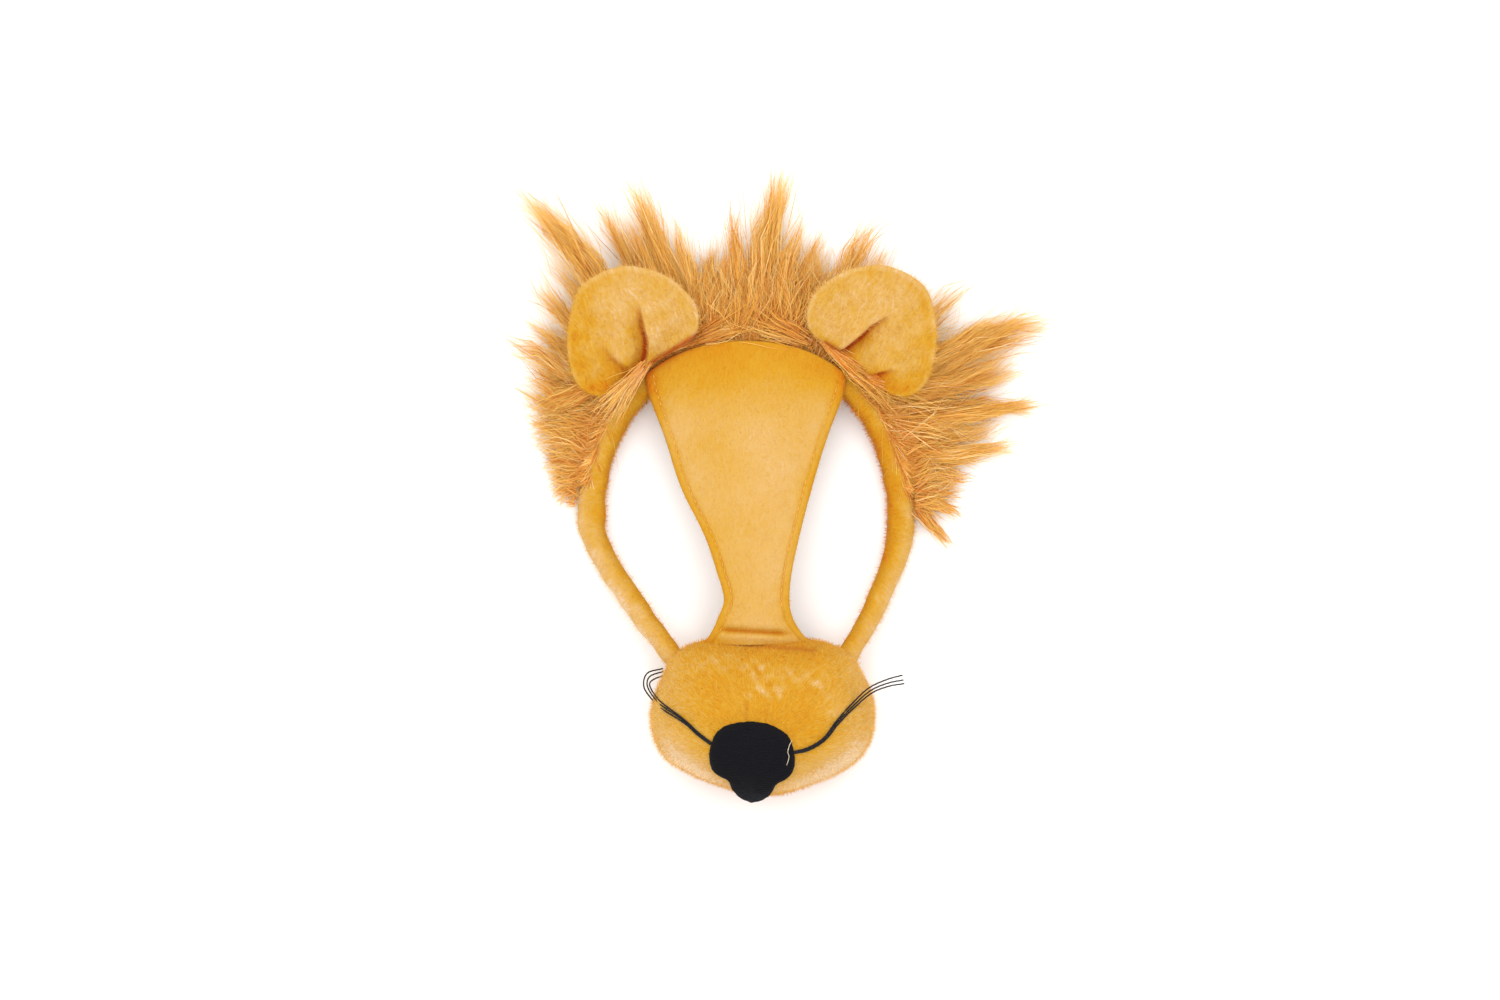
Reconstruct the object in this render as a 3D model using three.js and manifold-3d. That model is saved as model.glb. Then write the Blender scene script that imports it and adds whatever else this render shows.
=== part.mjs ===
// A plush lion half mask on a padded headband, lying on its open back.
// Millimetres. +Z points up, out of the face, +Y to the crown and +X to the right of whoever looks at the face.
// The origin is on the flat back of the headband, under the crown.
import * as THREE from "three";
import Module from "manifold-3d";

const wasm = await Module();
wasm.setup();

// Clearance between pieces that are sewn together
const seamGap = 0.3;

// Headband: a padded arch over the crown, flat at the back
const bandSpan = 151; // outside width
const bandRise = 76.5; // crown to ends, along the middle of the padding
const bandPad = 12; // padding, from the head outwards
const bandDepth = 22; // front to back at the crown
const bandEndDepth = 11.5; // front to back at the ends
const bandSquareness = 2.2; // exponent of the arch: 2 is an ellipse
const bandFlatShare = 0.04; // what the pressed back loses of the depth

// Muzzle: a hollow cup, open at the back
const muzzleWidth = 99.5;
const muzzleHeight = 70.2; // crown side to chin side
const muzzleDepth = 65; // resting face to tip
const muzzleWall = 3;
const muzzleBelowBand = 163; // headband crown to the middle of the muzzle
const muzzleAside = 7.5; // the sewing sets the muzzle a little to the right
const bridgeArchHeight = 30; // cut-out over the wearer's nose
const bridgeArchWidth = 62;
const bridgeArchLength = 120;

// Forehead panel
const panelThickness = 3.2;
const panelTopHalf = 45; // half width where it is sewn to the headband
const panelNeckHalf = 14.7; // half width at the bridge of the nose
const panelFootHalf = 25; // half width at the muzzle seam
const panelLap = 4.5; // how far it laps over the headband's middle at the crown
const panelBulge = 13.5; // how far its middle stands in front of the headband
const panelBow = 8; // how far its sides curve back
const panelSeamInset = 3.6; // topstitching, from the edge
const panelSeamDip = 0.7;

// Cheek straps: padded tubes from the headband's ends to the muzzle
const strapTaper = 0.74; // section at the muzzle, as a share of that at the headband
const strapSeatSide = 40.5; // where it meets the muzzle, to the side of its middle
const strapSeatUp = 23; // and towards the crown
const strapSeatHeight = 24; // and above the resting face

// Ears
const earWidth = 60;
const earPlump = 8.5; // thickness in the middle
const earRim = 3;
const earLean = 17; // degrees, how far the tips tilt up from the resting face
const earCup = 5; // how far the sides curl forward
const earCreaseWidth = 3;

// Nose: a black pad on the muzzle
const noseWidth = 38;
const noseHeight = 40.5;
const nosePad = 3.6;
const noseTilt = 38; // degrees, how far the pad faces the chin
const noseRaise = 16.5; // its top edge, towards the crown from its middle
const noseBelowMuzzle = 22; // its middle, towards the chin from the muzzle's middle
const noseAside = -5.5; // its middle, to the side of the muzzle's middle

// Whiskers: three stiff threads on each side
const whiskerThread = 0.9;
const whiskerLift = 1; // clearance over the muzzle
const whiskerFree = 22; // longest stretch that stands clear of the muzzle

// Mane
const underfurLength = 34;
const lockLength = 98;
const lockGirth = 18;
const furBacking = 2.5;
const furRoom = 1; // lowest hairs above the resting face
const furFront = 2; // how far the fur stands in front of the headband
const furTipDepth = 2.4;
const furPoints = 66;
const furStart = 0.02; // ends of the fur, as shares of the arch
const furEnd = 0.985;

// Front to back of the headband along the arch, as a share of the way from its end depth to its crown depth
const bandDepths = [
  { along: 0, fullness: 0 },
  { along: 0.14, fullness: 0.32 },
  { along: 0.3, fullness: 0.9 },
  { along: 0.5, fullness: 1 },
  { along: 0.7, fullness: 0.9 },
  { along: 0.86, fullness: 0.32 },
  { along: 1, fullness: 0 },
];

// Muzzle outline, seen from the front: turn in degrees from the side, reach as a share of half its width
const muzzleOutline = [
  { turn: -90, reach: 0.735 },
  { turn: -72, reach: 0.74 },
  { turn: -55, reach: 0.77 },
  { turn: -38, reach: 0.855 },
  { turn: -22, reach: 0.97 },
  { turn: -8, reach: 1.01 },
  { turn: 8, reach: 0.99 },
  { turn: 22, reach: 0.965 },
  { turn: 36, reach: 0.94 },
  { turn: 55, reach: 0.82 },
  { turn: 72, reach: 0.72 },
  { turn: 90, reach: 0.685 },
];

// Muzzle from the resting face to its tip: rise as a share of its depth, girth of its outline, and how far the
// middle drops to the chin as a share of its height
const muzzleLevels = [
  { rise: 0, girth: 0.88, drop: 0 },
  { rise: 0.15, girth: 0.955, drop: 0 },
  { rise: 0.32, girth: 1, drop: 0 },
  { rise: 0.48, girth: 0.985, drop: 0.005 },
  { rise: 0.62, girth: 0.925, drop: 0.025 },
  { rise: 0.75, girth: 0.825, drop: 0.055 },
  { rise: 0.86, girth: 0.675, drop: 0.095 },
  { rise: 0.94, girth: 0.48, drop: 0.13 },
  { rise: 0.985, girth: 0.25, drop: 0.16 },
  { rise: 1, girth: 0.08, drop: 0.17 },
];

// Forehead panel from the headband to the muzzle: down as a share of its length, half width between those at the
// top, neck and foot, forward as a share of its bulge, bow as a share of its bow, aside as a share of the muzzle's
const panelRows = [
  { down: 0, top: 1, neck: 0, foot: 0, forward: 0, bow: 0.16, aside: 0 },
  { down: 0.05, top: 1, neck: 0, foot: 0, forward: 0.03, bow: 0.2, aside: 0 },
  { down: 0.11, top: 0.97, neck: 0.03, foot: 0, forward: 0.14, bow: 0.42, aside: 0 },
  { down: 0.18, top: 0.9, neck: 0.1, foot: 0, forward: 0.36, bow: 0.75, aside: 0 },
  { down: 0.32, top: 0.71, neck: 0.29, foot: 0, forward: 0.68, bow: 1, aside: 0 },
  { down: 0.48, top: 0.49, neck: 0.51, foot: 0, forward: 0.86, bow: 0.85, aside: 0.03 },
  { down: 0.64, top: 0.22, neck: 0.78, foot: 0, forward: 0.96, bow: 0.55, aside: 0.36 },
  { down: 0.76, top: 0.07, neck: 0.93, foot: 0, forward: 1, bow: 0.38, aside: 0.5 },
  { down: 0.85, top: 0, neck: 1, foot: 0, forward: 1, bow: 0.34, aside: 0.64 },
  { down: 0.91, top: 0, neck: 0.8, foot: 0.2, forward: 0.96, bow: 0.42, aside: 0.56 },
  { down: 0.96, top: 0, neck: 0.45, foot: 0.55, forward: 0.9, bow: 0.6, aside: 0.62 },
  { down: 1, top: 0, neck: 0, foot: 1, forward: 0.86, bow: 0.85, aside: 0.7 },
];

// Cheek straps: seat as a share of its distance to the side, and how far each carries on straight down from the
// headband, and comes to the muzzle from outside and from above, as shares of its run
const straps = [
  { name: "cheek_strap_left", side: -1, seat: 1.02, leaveDown: 0.16, comeOut: 0.235, comeUp: 0.36 },
  { name: "cheek_strap_right", side: 1, seat: 0.98, leaveDown: 0.255, comeOut: 0.165, comeUp: 0.345 },
];

// Ear outline: turn in degrees from its tip, reach as a share of half its width, on the side away from the crown
// and on the side towards it
const earOutline = [
  { turn: 0, outer: 1, inner: 1 },
  { turn: 15, outer: 1.03, inner: 0.98 },
  { turn: 30, outer: 1.06, inner: 0.94 },
  { turn: 50, outer: 1.02, inner: 0.935 },
  { turn: 70, outer: 1.03, inner: 0.94 },
  { turn: 90, outer: 1.09, inner: 0.97 },
  { turn: 106, outer: 1.17, inner: 0.94 },
  { turn: 118, outer: 1.19, inner: 0.89 },
  { turn: 131, outer: 1.12, inner: 0.77 },
  { turn: 150, outer: 0.82, inner: 0.64 },
  { turn: 165, outer: 0.69, inner: 0.61 },
  { turn: 180, outer: 0.64, inner: 0.64 },
];
const earBaseShare = 0.66; // base to middle, as a share of half the width

// The two ears: where each stands on the arch and outside its middle, as a share of its padding, its turn in
// degrees from square, and its sewn creases, from and to as shares of half the ear's width, along the base and
// outwards from it, with depths as shares of its plumpness
const ears = [
  {
    name: "ear_left",
    outwards: -1,
    along: 0.316,
    seatOut: 0.36,
    turn: -13,
    creases: [
      { fromSide: -0.14, fromOut: 0.04, toSide: 0.13, toOut: 0.9, depth: 0.55 },
      { fromSide: -0.36, fromOut: 0.1, toSide: -0.53, toOut: 0.66, depth: 0.35 },
    ],
  },
  {
    name: "ear_right",
    outwards: 1,
    along: 0.696,
    seatOut: 0.66,
    turn: 11,
    creases: [
      { fromSide: -0.32, fromOut: 0.05, toSide: 0.16, toOut: 0.97, depth: 0.6 },
      { fromSide: 0.33, fromOut: 0, toSide: 0.61, toOut: 0.29, depth: 0.35 },
    ],
  },
];

// Nose outline, right half from the top round to the bottom: side as a share of half its width, up as a share of
// its height from the top edge
const noseOutline = [
  { side: 0, up: 0 },
  { side: 0.36, up: 0.01 },
  { side: 0.68, up: 0.045 },
  { side: 0.92, up: 0.115 },
  { side: 1, up: 0.2 },
  { side: 0.97, up: 0.29 },
  { side: 0.84, up: 0.375 },
  { side: 0.66, up: 0.42 },
  { side: 0.56, up: 0.45 },
  { side: 0.52, up: 0.51 },
  { side: 0.44, up: 0.67 },
  { side: 0.27, up: 0.88 },
  { side: 0, up: 1 },
];

// Whisker threads: over the muzzle by turn in degrees and rise as a share of its depth, then free to the side,
// up the face and forward, as shares of the longest free stretch
const whiskers = [
  {
    name: "whiskers_left",
    over: [
      { turn: 197, rise: 0.955 },
      { turn: 184, rise: 0.93 },
      { turn: 174, rise: 0.88 },
      { turn: 168, rise: 0.77 },
      { turn: 165, rise: 0.6 },
    ],
    free: [
      { side: -0.16, up: 0.28, forward: -0.4 },
      { side: 0.02, up: 0.46, forward: -0.95 },
      { side: 0.3, up: 0.52, forward: -1.4 },
    ],
    fan: { side: 0.06, up: 0.07, forward: 0.04 },
  },
  {
    name: "whiskers_right",
    over: [
      { turn: -14, rise: 0.98 },
      { turn: 1, rise: 0.93 },
      { turn: 6, rise: 0.885 },
      { turn: 11, rise: 0.79 },
      { turn: 14, rise: 0.62 },
    ],
    free: [
      { side: 0.26, up: 0.17, forward: 0.02 },
      { side: 0.6, up: 0.3, forward: 0.05 },
      { side: 0.93, up: 0.38, forward: 0.06 },
    ],
    fan: { side: 0.05, up: -0.09, forward: -0.22 },
  },
];

// Thick underfur: its length along the arch, as a share of its greatest
const underfur = [
  { along: 0, reach: 0.03 },
  { along: 0.04, reach: 0.12 },
  { along: 0.08, reach: 0.26 },
  { along: 0.12, reach: 0.44 },
  { along: 0.2, reach: 0.8 },
  { along: 0.3, reach: 0.9 },
  { along: 0.4, reach: 0.85 },
  { along: 0.47, reach: 0.74 },
  { along: 0.54, reach: 0.9 },
  { along: 0.62, reach: 0.82 },
  { along: 0.72, reach: 0.9 },
  { along: 0.8, reach: 1 },
  { along: 0.87, reach: 0.62 },
  { along: 0.93, reach: 0.36 },
  { along: 0.97, reach: 0.38 },
  { along: 1, reach: 0.3 },
];

// Locks that stand out of the underfur: root along the arch and up as a share of the headband's depth, tip from
// the root to the side and up the face as shares of the lock length, girth of the root as a share of the thickest,
// and bend as a share of its own length
const locks = [
  { along: 0.04, level: 0.5, side: -0.11, up: 0.01, girth: 0.33, bend: 0.18 },
  { along: 0.09, level: 0.4, side: -0.19, up: 0.05, girth: 0.39, bend: -0.15 },
  { along: 0.13, level: 0.6, side: -0.28, up: 0.12, girth: 0.39, bend: -0.10 },
  { along: 0.155, level: 0.35, side: -0.37, up: 0.22, girth: 0.39, bend: -0.09 },
  { along: 0.18, level: 0.5, side: -0.37, up: 0.28, girth: 0.44, bend: 0.07 },
  { along: 0.2, level: 0.7, side: -0.48, up: 0.33, girth: 0.39, bend: 0.09 },
  { along: 0.225, level: 0.3, side: -0.34, up: 0.33, girth: 0.50, bend: -0.07 },
  { along: 0.27, level: 0.5, side: -0.44, up: 0.47, girth: 0.50, bend: -0.06 },
  { along: 0.315, level: 0.5, side: -0.59, up: 0.81, girth: 0.94, bend: 0.09 },
  { along: 0.345, level: 0.45, side: -0.30, up: 0.74, girth: 0.50, bend: 0.04 },
  { along: 0.36, level: 0.6, side: -0.20, up: 0.65, girth: 0.44, bend: 0.03 },
  { along: 0.4, level: 0.45, side: -0.29, up: 0.78, girth: 0.72, bend: 0.06 },
  { along: 0.42, level: 0.6, side: -0.12, up: 0.56, girth: 0.50, bend: 0.04 },
  { along: 0.455, level: 0.4, side: -0.03, up: 0.43, girth: 0.50, bend: -0.05 },
  { along: 0.49, level: 0.6, side: -0.04, up: 0.65, girth: 0.33, bend: 0.05 },
  { along: 0.52, level: 0.45, side: 0.11, up: 0.78, girth: 1.00, bend: -0.07 },
  { along: 0.545, level: 0.65, side: 0.13, up: 0.56, girth: 0.61, bend: -0.04 },
  { along: 0.575, level: 0.45, side: 0.13, up: 0.45, girth: 0.50, bend: 0.07 },
  { along: 0.615, level: 0.55, side: 0.31, up: 0.57, girth: 0.61, bend: -0.06 },
  { along: 0.66, level: 0.4, side: 0.27, up: 0.53, girth: 0.39, bend: -0.05 },
  { along: 0.73, level: 0.5, side: 0.56, up: 0.41, girth: 0.44, bend: -0.04 },
  { along: 0.77, level: 0.6, side: 0.63, up: 0.31, girth: 0.89, bend: -0.07 },
  { along: 0.8, level: 0.5, side: 0.80, up: 0.39, girth: 0.72, bend: -0.13 },
  { along: 0.835, level: 0.35, side: 0.46, up: 0.14, girth: 0.50, bend: 0.06 },
  { along: 0.85, level: 0.55, side: 0.65, up: 0.12, girth: 0.72, bend: -0.08 },
  { along: 0.89, level: 0.5, side: 0.51, up: 0.04, girth: 0.61, bend: 0.10 },
  { along: 0.925, level: 0.4, side: 0.29, up: -0.03, girth: 0.50, bend: -0.07 },
  { along: 0.96, level: 0.5, side: 0.24, up: -0.13, girth: 0.44, bend: -0.07 },
  { along: 0.975, level: 0.45, side: 0.20, up: -0.22, girth: 0.50, bend: 0.10 },
];

const degrees = THREE.MathUtils.degToRad;

// The value of one column of a table at a place along another column, smoothly between its rows
function read(table, along, column, at) {
  const last = table.length - 1;
  const place = THREE.MathUtils.clamp(at, table[0][along], table[last][along]);
  let k = 0;
  while (k < last - 1 && place > table[k + 1][along]) k++;
  const slope = (i) => {
    const [a, b] = [table[Math.max(i - 1, 0)], table[Math.min(i + 1, last)]];
    return (b[column] - a[column]) / (b[along] - a[along]);
  };
  const [from, to] = [table[k], table[k + 1]];
  const step = to[along] - from[along];
  const t = (place - from[along]) / step;
  const [t2, t3] = [t * t, t * t * t];
  return (
    (2 * t3 - 3 * t2 + 1) * from[column] +
    (t3 - 2 * t2 + t) * step * slope(k) +
    (3 * t2 - 2 * t3) * to[column] +
    (t3 - t2) * step * slope(k + 1)
  );
}

// A closed solid through rings of equally many points, with its two ends closed straight across
function loft(rings) {
  const count = rings[0].length;
  const index = (ring, k) => ring * count + (k % count);
  const faces = [];
  for (let ring = 0; ring + 1 < rings.length; ring++)
    for (let k = 0; k < count; k++) {
      faces.push([index(ring, k), index(ring, k + 1), index(ring + 1, k + 1)]);
      faces.push([index(ring, k), index(ring + 1, k + 1), index(ring + 1, k)]);
    }
  const end = rings.length - 1;
  for (let k = 0; k < count / 2 - 1; k++) {
    const [a, b, c, d] = [k, k + 1, count - 2 - k, count - 1 - k];
    faces.push([index(0, a), index(0, c), index(0, b)], [index(0, a), index(0, d), index(0, c)]);
    faces.push([index(end, a), index(end, b), index(end, c)], [index(end, a), index(end, c), index(end, d)]);
  }
  return solidOf(rings.flat(), faces);
}

// A manifold solid from points and faces, with its faces turned outwards
function solidOf(points, faces) {
  const vertProperties = new Float32Array(points.flatMap((p) => p.toArray()));
  const build = (all) =>
    new wasm.Manifold(new wasm.Mesh({ numProp: 3, vertProperties, triVerts: new Uint32Array(all.flat()) }));
  const made = build(faces);
  return made.volume() < 0 ? build(faces.map(([a, b, c]) => [a, c, b])) : made;
}

// The largest body of a cut solid, without the crumbs that a cut leaves
function mainBody(solid) {
  return solid.decompose().reduce((best, body) => (body.volume() > best.volume() ? body : best));
}

function meshOf(name, solid, material) {
  const { numProp, vertProperties, triVerts } = solid.getMesh();
  const positions = new Float32Array((vertProperties.length / numProp) * 3);
  for (let i = 0; i * numProp < vertProperties.length; i++)
    positions.set(vertProperties.subarray(i * numProp, i * numProp + 3), i * 3);
  const geometry = new THREE.BufferGeometry();
  geometry.setAttribute("position", new THREE.BufferAttribute(positions, 3));
  geometry.setIndex(new THREE.BufferAttribute(new Uint32Array(triVerts), 1));
  geometry.computeVertexNormals();
  const mesh = new THREE.Mesh(geometry, material);
  mesh.name = name;
  return mesh;
}

const plush = new THREE.MeshStandardMaterial({ color: 0xe6a83c, roughness: 0.95, metalness: 0 });
const fur = new THREE.MeshStandardMaterial({ color: 0xd79a4e, roughness: 0.9, metalness: 0 });
const blackKnit = new THREE.MeshStandardMaterial({ color: 0x19181d, roughness: 0.9, metalness: 0 });
const thread = new THREE.MeshStandardMaterial({ color: 0x241f22, roughness: 0.6, metalness: 0 });

// The middle of the headband's padding: a point of the arch, the way out from the head, and the way along
function archAt(along) {
  const point = (share) => {
    const turn = Math.PI * (1 - share);
    const power = 2 / bandSquareness;
    const x = Math.sign(Math.cos(turn)) * Math.abs(Math.cos(turn)) ** power;
    const y = Math.max(Math.sin(turn), 0) ** power;
    return new THREE.Vector3((x * (bandSpan - bandPad)) / 2, (y - 1) * bandRise, 0);
  };
  const nudge = 0.002;
  const way = point(Math.min(along + nudge, 1)).sub(point(Math.max(along - nudge, 0))).normalize();
  return { point: point(along), way, out: new THREE.Vector3(-way.y, way.x, 0) };
}

// How far up the face the arch stands at a distance to the side
function archHeight(side) {
  const share = Math.min(Math.abs(side) / ((bandSpan - bandPad) / 2), 1);
  return bandRise * ((1 - share ** bandSquareness) ** (1 / bandSquareness) - 1);
}

function bandFront(along) {
  return bandEndDepth + (bandDepth - bandEndDepth) * read(bandDepths, "along", "fullness", along);
}

// The headband, or with a gap round it a cutter for what is sewn against it
function headbandSolid(grow = 0) {
  const stations = 36;
  const sides = 14;
  const roundness = 2 / 3;
  const rings = [];
  for (let i = 0; i <= stations; i++) {
    const along = i / stations;
    const { point, out } = archAt(along);
    const front = bandFront(along);
    const ring = [];
    for (let k = 0; k < sides; k++) {
      const turn = (k / sides) * 2 * Math.PI - Math.PI / 2;
      const across = Math.sign(Math.cos(turn)) * Math.abs(Math.cos(turn)) ** roundness;
      const rise = (Math.sign(Math.sin(turn)) * Math.abs(Math.sin(turn)) ** roundness + 1) / 2;
      const pressed = Math.max(rise - bandFlatShare, 0) / (1 - bandFlatShare);
      const height = pressed * (front + 2 * grow) - grow;
      const offset = Math.abs(across) < 1e-9 ? 0 : across * (bandPad / 2 + grow);
      ring.push(point.clone().addScaledVector(out, offset).setZ(height));
    }
    rings.push(ring);
  }
  if (grow) {
    rings.unshift(rings[0].map((p) => p.clone().setY(p.y - grow)));
    rings.push(rings.at(-1).map((p) => p.clone().setY(p.y - grow)));
  }
  return loft(rings);
}

// A point on the muzzle's outside at a turn in degrees from its right side and a rise from 0 to 1
function muzzlePoint(turnDegrees, rise, grow = 0) {
  const turn = degrees(turnDegrees);
  const folded = THREE.MathUtils.radToDeg(Math.asin(Math.sin(turn)));
  const girth = read(muzzleLevels, "rise", "girth", rise);
  const reach = (read(muzzleOutline, "turn", "reach", folded) * muzzleWidth * girth) / 2 + grow;
  const drop = read(muzzleLevels, "rise", "drop", rise) * muzzleHeight;
  const outlineHeight = ((muzzleOutline[0].reach + muzzleOutline.at(-1).reach) * muzzleWidth) / 2;
  return new THREE.Vector3(
    muzzleAside + Math.cos(turn) * reach,
    -muzzleBelowBand - drop + (Math.sin(turn) * reach * muzzleHeight) / outlineHeight,
    rise * (muzzleDepth + grow),
  );
}

// The muzzle's rings from the resting face to its tip, larger or smaller all round by grow
function muzzleRings(grow = 0) {
  const sides = 32;
  return muzzleLevels.map(({ rise }) =>
    Array.from({ length: sides }, (_, k) => muzzlePoint((k / sides) * 360, rise, grow)),
  );
}

// The muzzle without its hollow, larger or smaller all round by grow, and open to the resting face
function muzzleForm(grow = 0) {
  const rings = muzzleRings(grow);
  if (grow) rings.unshift(rings[0].map((p) => p.clone().setZ(-Math.abs(grow))));
  return loft(rings);
}

// Room for the bridge of the wearer's nose, cut out of the muzzle's crown side
function bridgeCutter() {
  const rows = 12;
  const sides = 24;
  const middle = new THREE.Vector3(muzzleAside, -muzzleBelowBand + muzzleHeight * 0.95, 0);
  const rings = [];
  for (let i = 0; i <= rows; i++) {
    const tip = (i / rows) * Math.PI;
    const size = Math.max(Math.sin(tip), 0.02);
    const ring = [];
    for (let k = 0; k < sides; k++) {
      const turn = (k / sides) * 2 * Math.PI;
      ring.push(
        new THREE.Vector3(
          middle.x + (Math.cos(turn) * size * bridgeArchWidth) / 2,
          middle.y + (Math.cos(tip) * bridgeArchLength) / 2,
          Math.sin(turn) * size * bridgeArchHeight,
        ),
      );
    }
    rings.push(ring);
  }
  return loft(rings);
}

// The cup: inside from its tip to the rim, then outside from the rim to its tip
function muzzleSolid() {
  const cup = loft([...muzzleRings(-muzzleWall).reverse(), ...muzzleRings()]);
  return mainBody(cup.subtract(bridgeCutter()));
}

// The forehead panel: a bowed sheet with rolled, topstitched sides, larger all round by grow
function panelSolid(grow = 0) {
  const rows = 22;
  const inner = 7;
  const length = muzzleBelowBand - muzzleHeight * 0.44 + panelLap;
  const rings = [];
  for (let i = 0; i <= rows; i++) {
    const down = i / rows;
    const value = (column) => read(panelRows, "down", column, down);
    const half = value("top") * panelTopHalf + value("neck") * panelNeckHalf + value("foot") * panelFootHalf;
    const middle = value("aside") * muzzleAside;
    const curve = Math.max(1 - down / 0.4, 0) ** 2; // its rows follow the arch at the top and straighten below
    const forward = bandDepth + seamGap + panelThickness / 2 + value("forward") * panelBulge;
    const inset = panelSeamInset / half;
    const spread = Array.from({ length: inner }, (_, k) => ((2 * k) / (inner - 1) - 1) * (1 - 2 * inset));
    const columns = [-1, -1 + inset / 2, -1 + inset, ...spread, 1 - inset, 1 - inset / 2, 1];
    const front = [];
    const back = [];
    columns.forEach((column) => {
      const stitched = Math.abs(Math.abs(column) - (1 - inset)) < 1e-6;
      const edge = Math.abs(column) === 1;
      const thick = edge ? panelThickness * 0.3 : panelThickness / 2;
      const side = column * (half + grow);
      const up = panelLap - down * length + curve * archHeight(column * panelTopHalf);
      const rise = forward - value("bow") * panelBow * column * column;
      const x = middle + side;
      front.push(new THREE.Vector3(x, up, rise + thick + grow - (stitched ? panelSeamDip : 0)));
      back.unshift(new THREE.Vector3(x, up, rise - thick - grow));
    });
    rings.push([...front, ...back]);
  }
  if (grow) rings.unshift(rings[0].map((p) => p.clone().setY(p.y + grow)));
  return loft(rings);
}

// A padded tube along a curve, its section an oval that tapers to the end
function tube(curve, { width, thickness, taper, steps, sides, grow = 0 }) {
  const up = new THREE.Vector3(0, 0, 1);
  const rings = [];
  for (let i = 0; i <= steps; i++) {
    const t = i / steps;
    const way = curve.getTangent(t);
    const across = new THREE.Vector3().crossVectors(way, up).normalize();
    const over = new THREE.Vector3().crossVectors(across, way);
    const size = 1 + (taper - 1) * t;
    const middle = curve.getPoint(t);
    rings.push(
      Array.from({ length: sides }, (_, k) => {
        const turn = (k / sides) * 2 * Math.PI;
        return middle
          .clone()
          .addScaledVector(across, Math.cos(turn) * ((width * size) / 2 + grow))
          .addScaledVector(over, Math.sin(turn) * ((thickness * size) / 2 + grow));
      }),
    );
  }
  return loft(rings);
}

// A cheek strap from the headband's end to inside the muzzle, before it is cut to fit
function strapForm({ side, seat: seatShare, leaveDown, comeOut, comeUp }, grow = 0) {
  const tuck = 6; // how far the uncut tube runs into the muzzle
  const start = archAt(side < 0 ? 0 : 1).point.clone();
  start.y -= seamGap;
  start.z = bandEndDepth / 2;
  const seat = new THREE.Vector3(
    muzzleAside + side * strapSeatSide * seatShare,
    -muzzleBelowBand + strapSeatUp,
    strapSeatHeight,
  );
  const run = start.distanceTo(seat);
  const inwards = new THREE.Vector3(muzzleAside - seat.x, -muzzleBelowBand - seat.y, 0).normalize();
  const curve = new THREE.CubicBezierCurve3(
    start,
    start.clone().add(new THREE.Vector3(0, -leaveDown * run, 0)),
    seat.clone().add(new THREE.Vector3(side * comeOut * run, comeUp * run, -0.12 * run)),
    seat.clone().addScaledVector(inwards, tuck),
  );
  return tube(curve, {
    width: bandPad,
    thickness: bandEndDepth,
    taper: strapTaper,
    steps: 16,
    sides: 12,
    grow,
  });
}

function strapSolid(strap) {
  return mainBody(strapForm(strap).subtract(muzzleForm(seamGap)));
}

// How deep an ear is creased at a place on it, both as shares of half its width
function creaseAt(creases, side, out) {
  const width = earCreaseWidth / (earWidth / 2);
  return creases.reduce((sum, crease) => {
    const from = new THREE.Vector2(crease.fromSide, crease.fromOut);
    const way = new THREE.Vector2(crease.toSide, crease.toOut).sub(from);
    const place = new THREE.Vector2(side, out).sub(from);
    const along = THREE.MathUtils.clamp(place.dot(way) / way.lengthSq(), 0, 1);
    const off = place.addScaledVector(way, -along).length();
    return sum + crease.depth * Math.exp(-((off / width) ** 2)) * (1 - 0.6 * along ** 2);
  }, 0);
}

// An ear: a plump leaf of two layers of plush, creased at its base and curled forward at its sides
function earSolid(ear, grow = 0) {
  const sides = 28;
  const levels = [0.18, 0.38, 0.58, 0.76, 0.91, 1];
  const half = earWidth / 2;
  const { point, way, out } = archAt(ear.along);
  const turned = (v) => v.clone().applyAxisAngle(new THREE.Vector3(0, 0, 1), degrees(ear.turn));
  const along = turned(way);
  const outwards = turned(out)
    .multiplyScalar(Math.cos(degrees(earLean)))
    .setZ(Math.sin(degrees(earLean)));
  const facing = new THREE.Vector3().crossVectors(along, outwards).negate();
  if (facing.z < 0) facing.negate();
  const seat = point.clone().addScaledVector(out, ear.seatOut * bandPad).setZ(bandFront(ear.along) + earRim);
  const place = (turnDegrees, share, face) => {
    const turn = degrees(turnDegrees);
    const folded = Math.abs(((turnDegrees + 180) % 360) - 180);
    const edge = Math.sin(turn) * ear.outwards > 0 ? "outer" : "inner";
    const reach = read(earOutline, "turn", edge, folded) * share;
    const side = Math.sin(turn) * reach;
    const up = earBaseShare + Math.cos(turn) * reach;
    const crease = creaseAt(ear.creases, side, up) * earPlump * (1 - share ** 6);
    const plump = (earRim + (earPlump - earRim) * (1 - share * share)) / 2 + grow;
    const curl = earCup * side * side * (1 - 0.3 * up);
    const swell = share === 1 ? grow : 0;
    return seat
      .clone()
      .addScaledVector(along, side * half + Math.sin(turn) * swell)
      .addScaledVector(outwards, up * half + Math.cos(turn) * swell)
      .addScaledVector(facing, curl + face * plump - crease);
  };
  const ringOf = (share, face) =>
    Array.from({ length: sides }, (_, k) => place((k / sides) * 360, share, face));
  const front = levels.map((share) => ringOf(share, 1));
  const back = levels.map((share) => ringOf(share, -1)).reverse();
  return loft([...front, ...back]);
}

function earFitted(ear) {
  return mainBody(earSolid(ear).subtract(headbandSolid(seamGap)).subtract(panelSolid(seamGap)));
}

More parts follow.
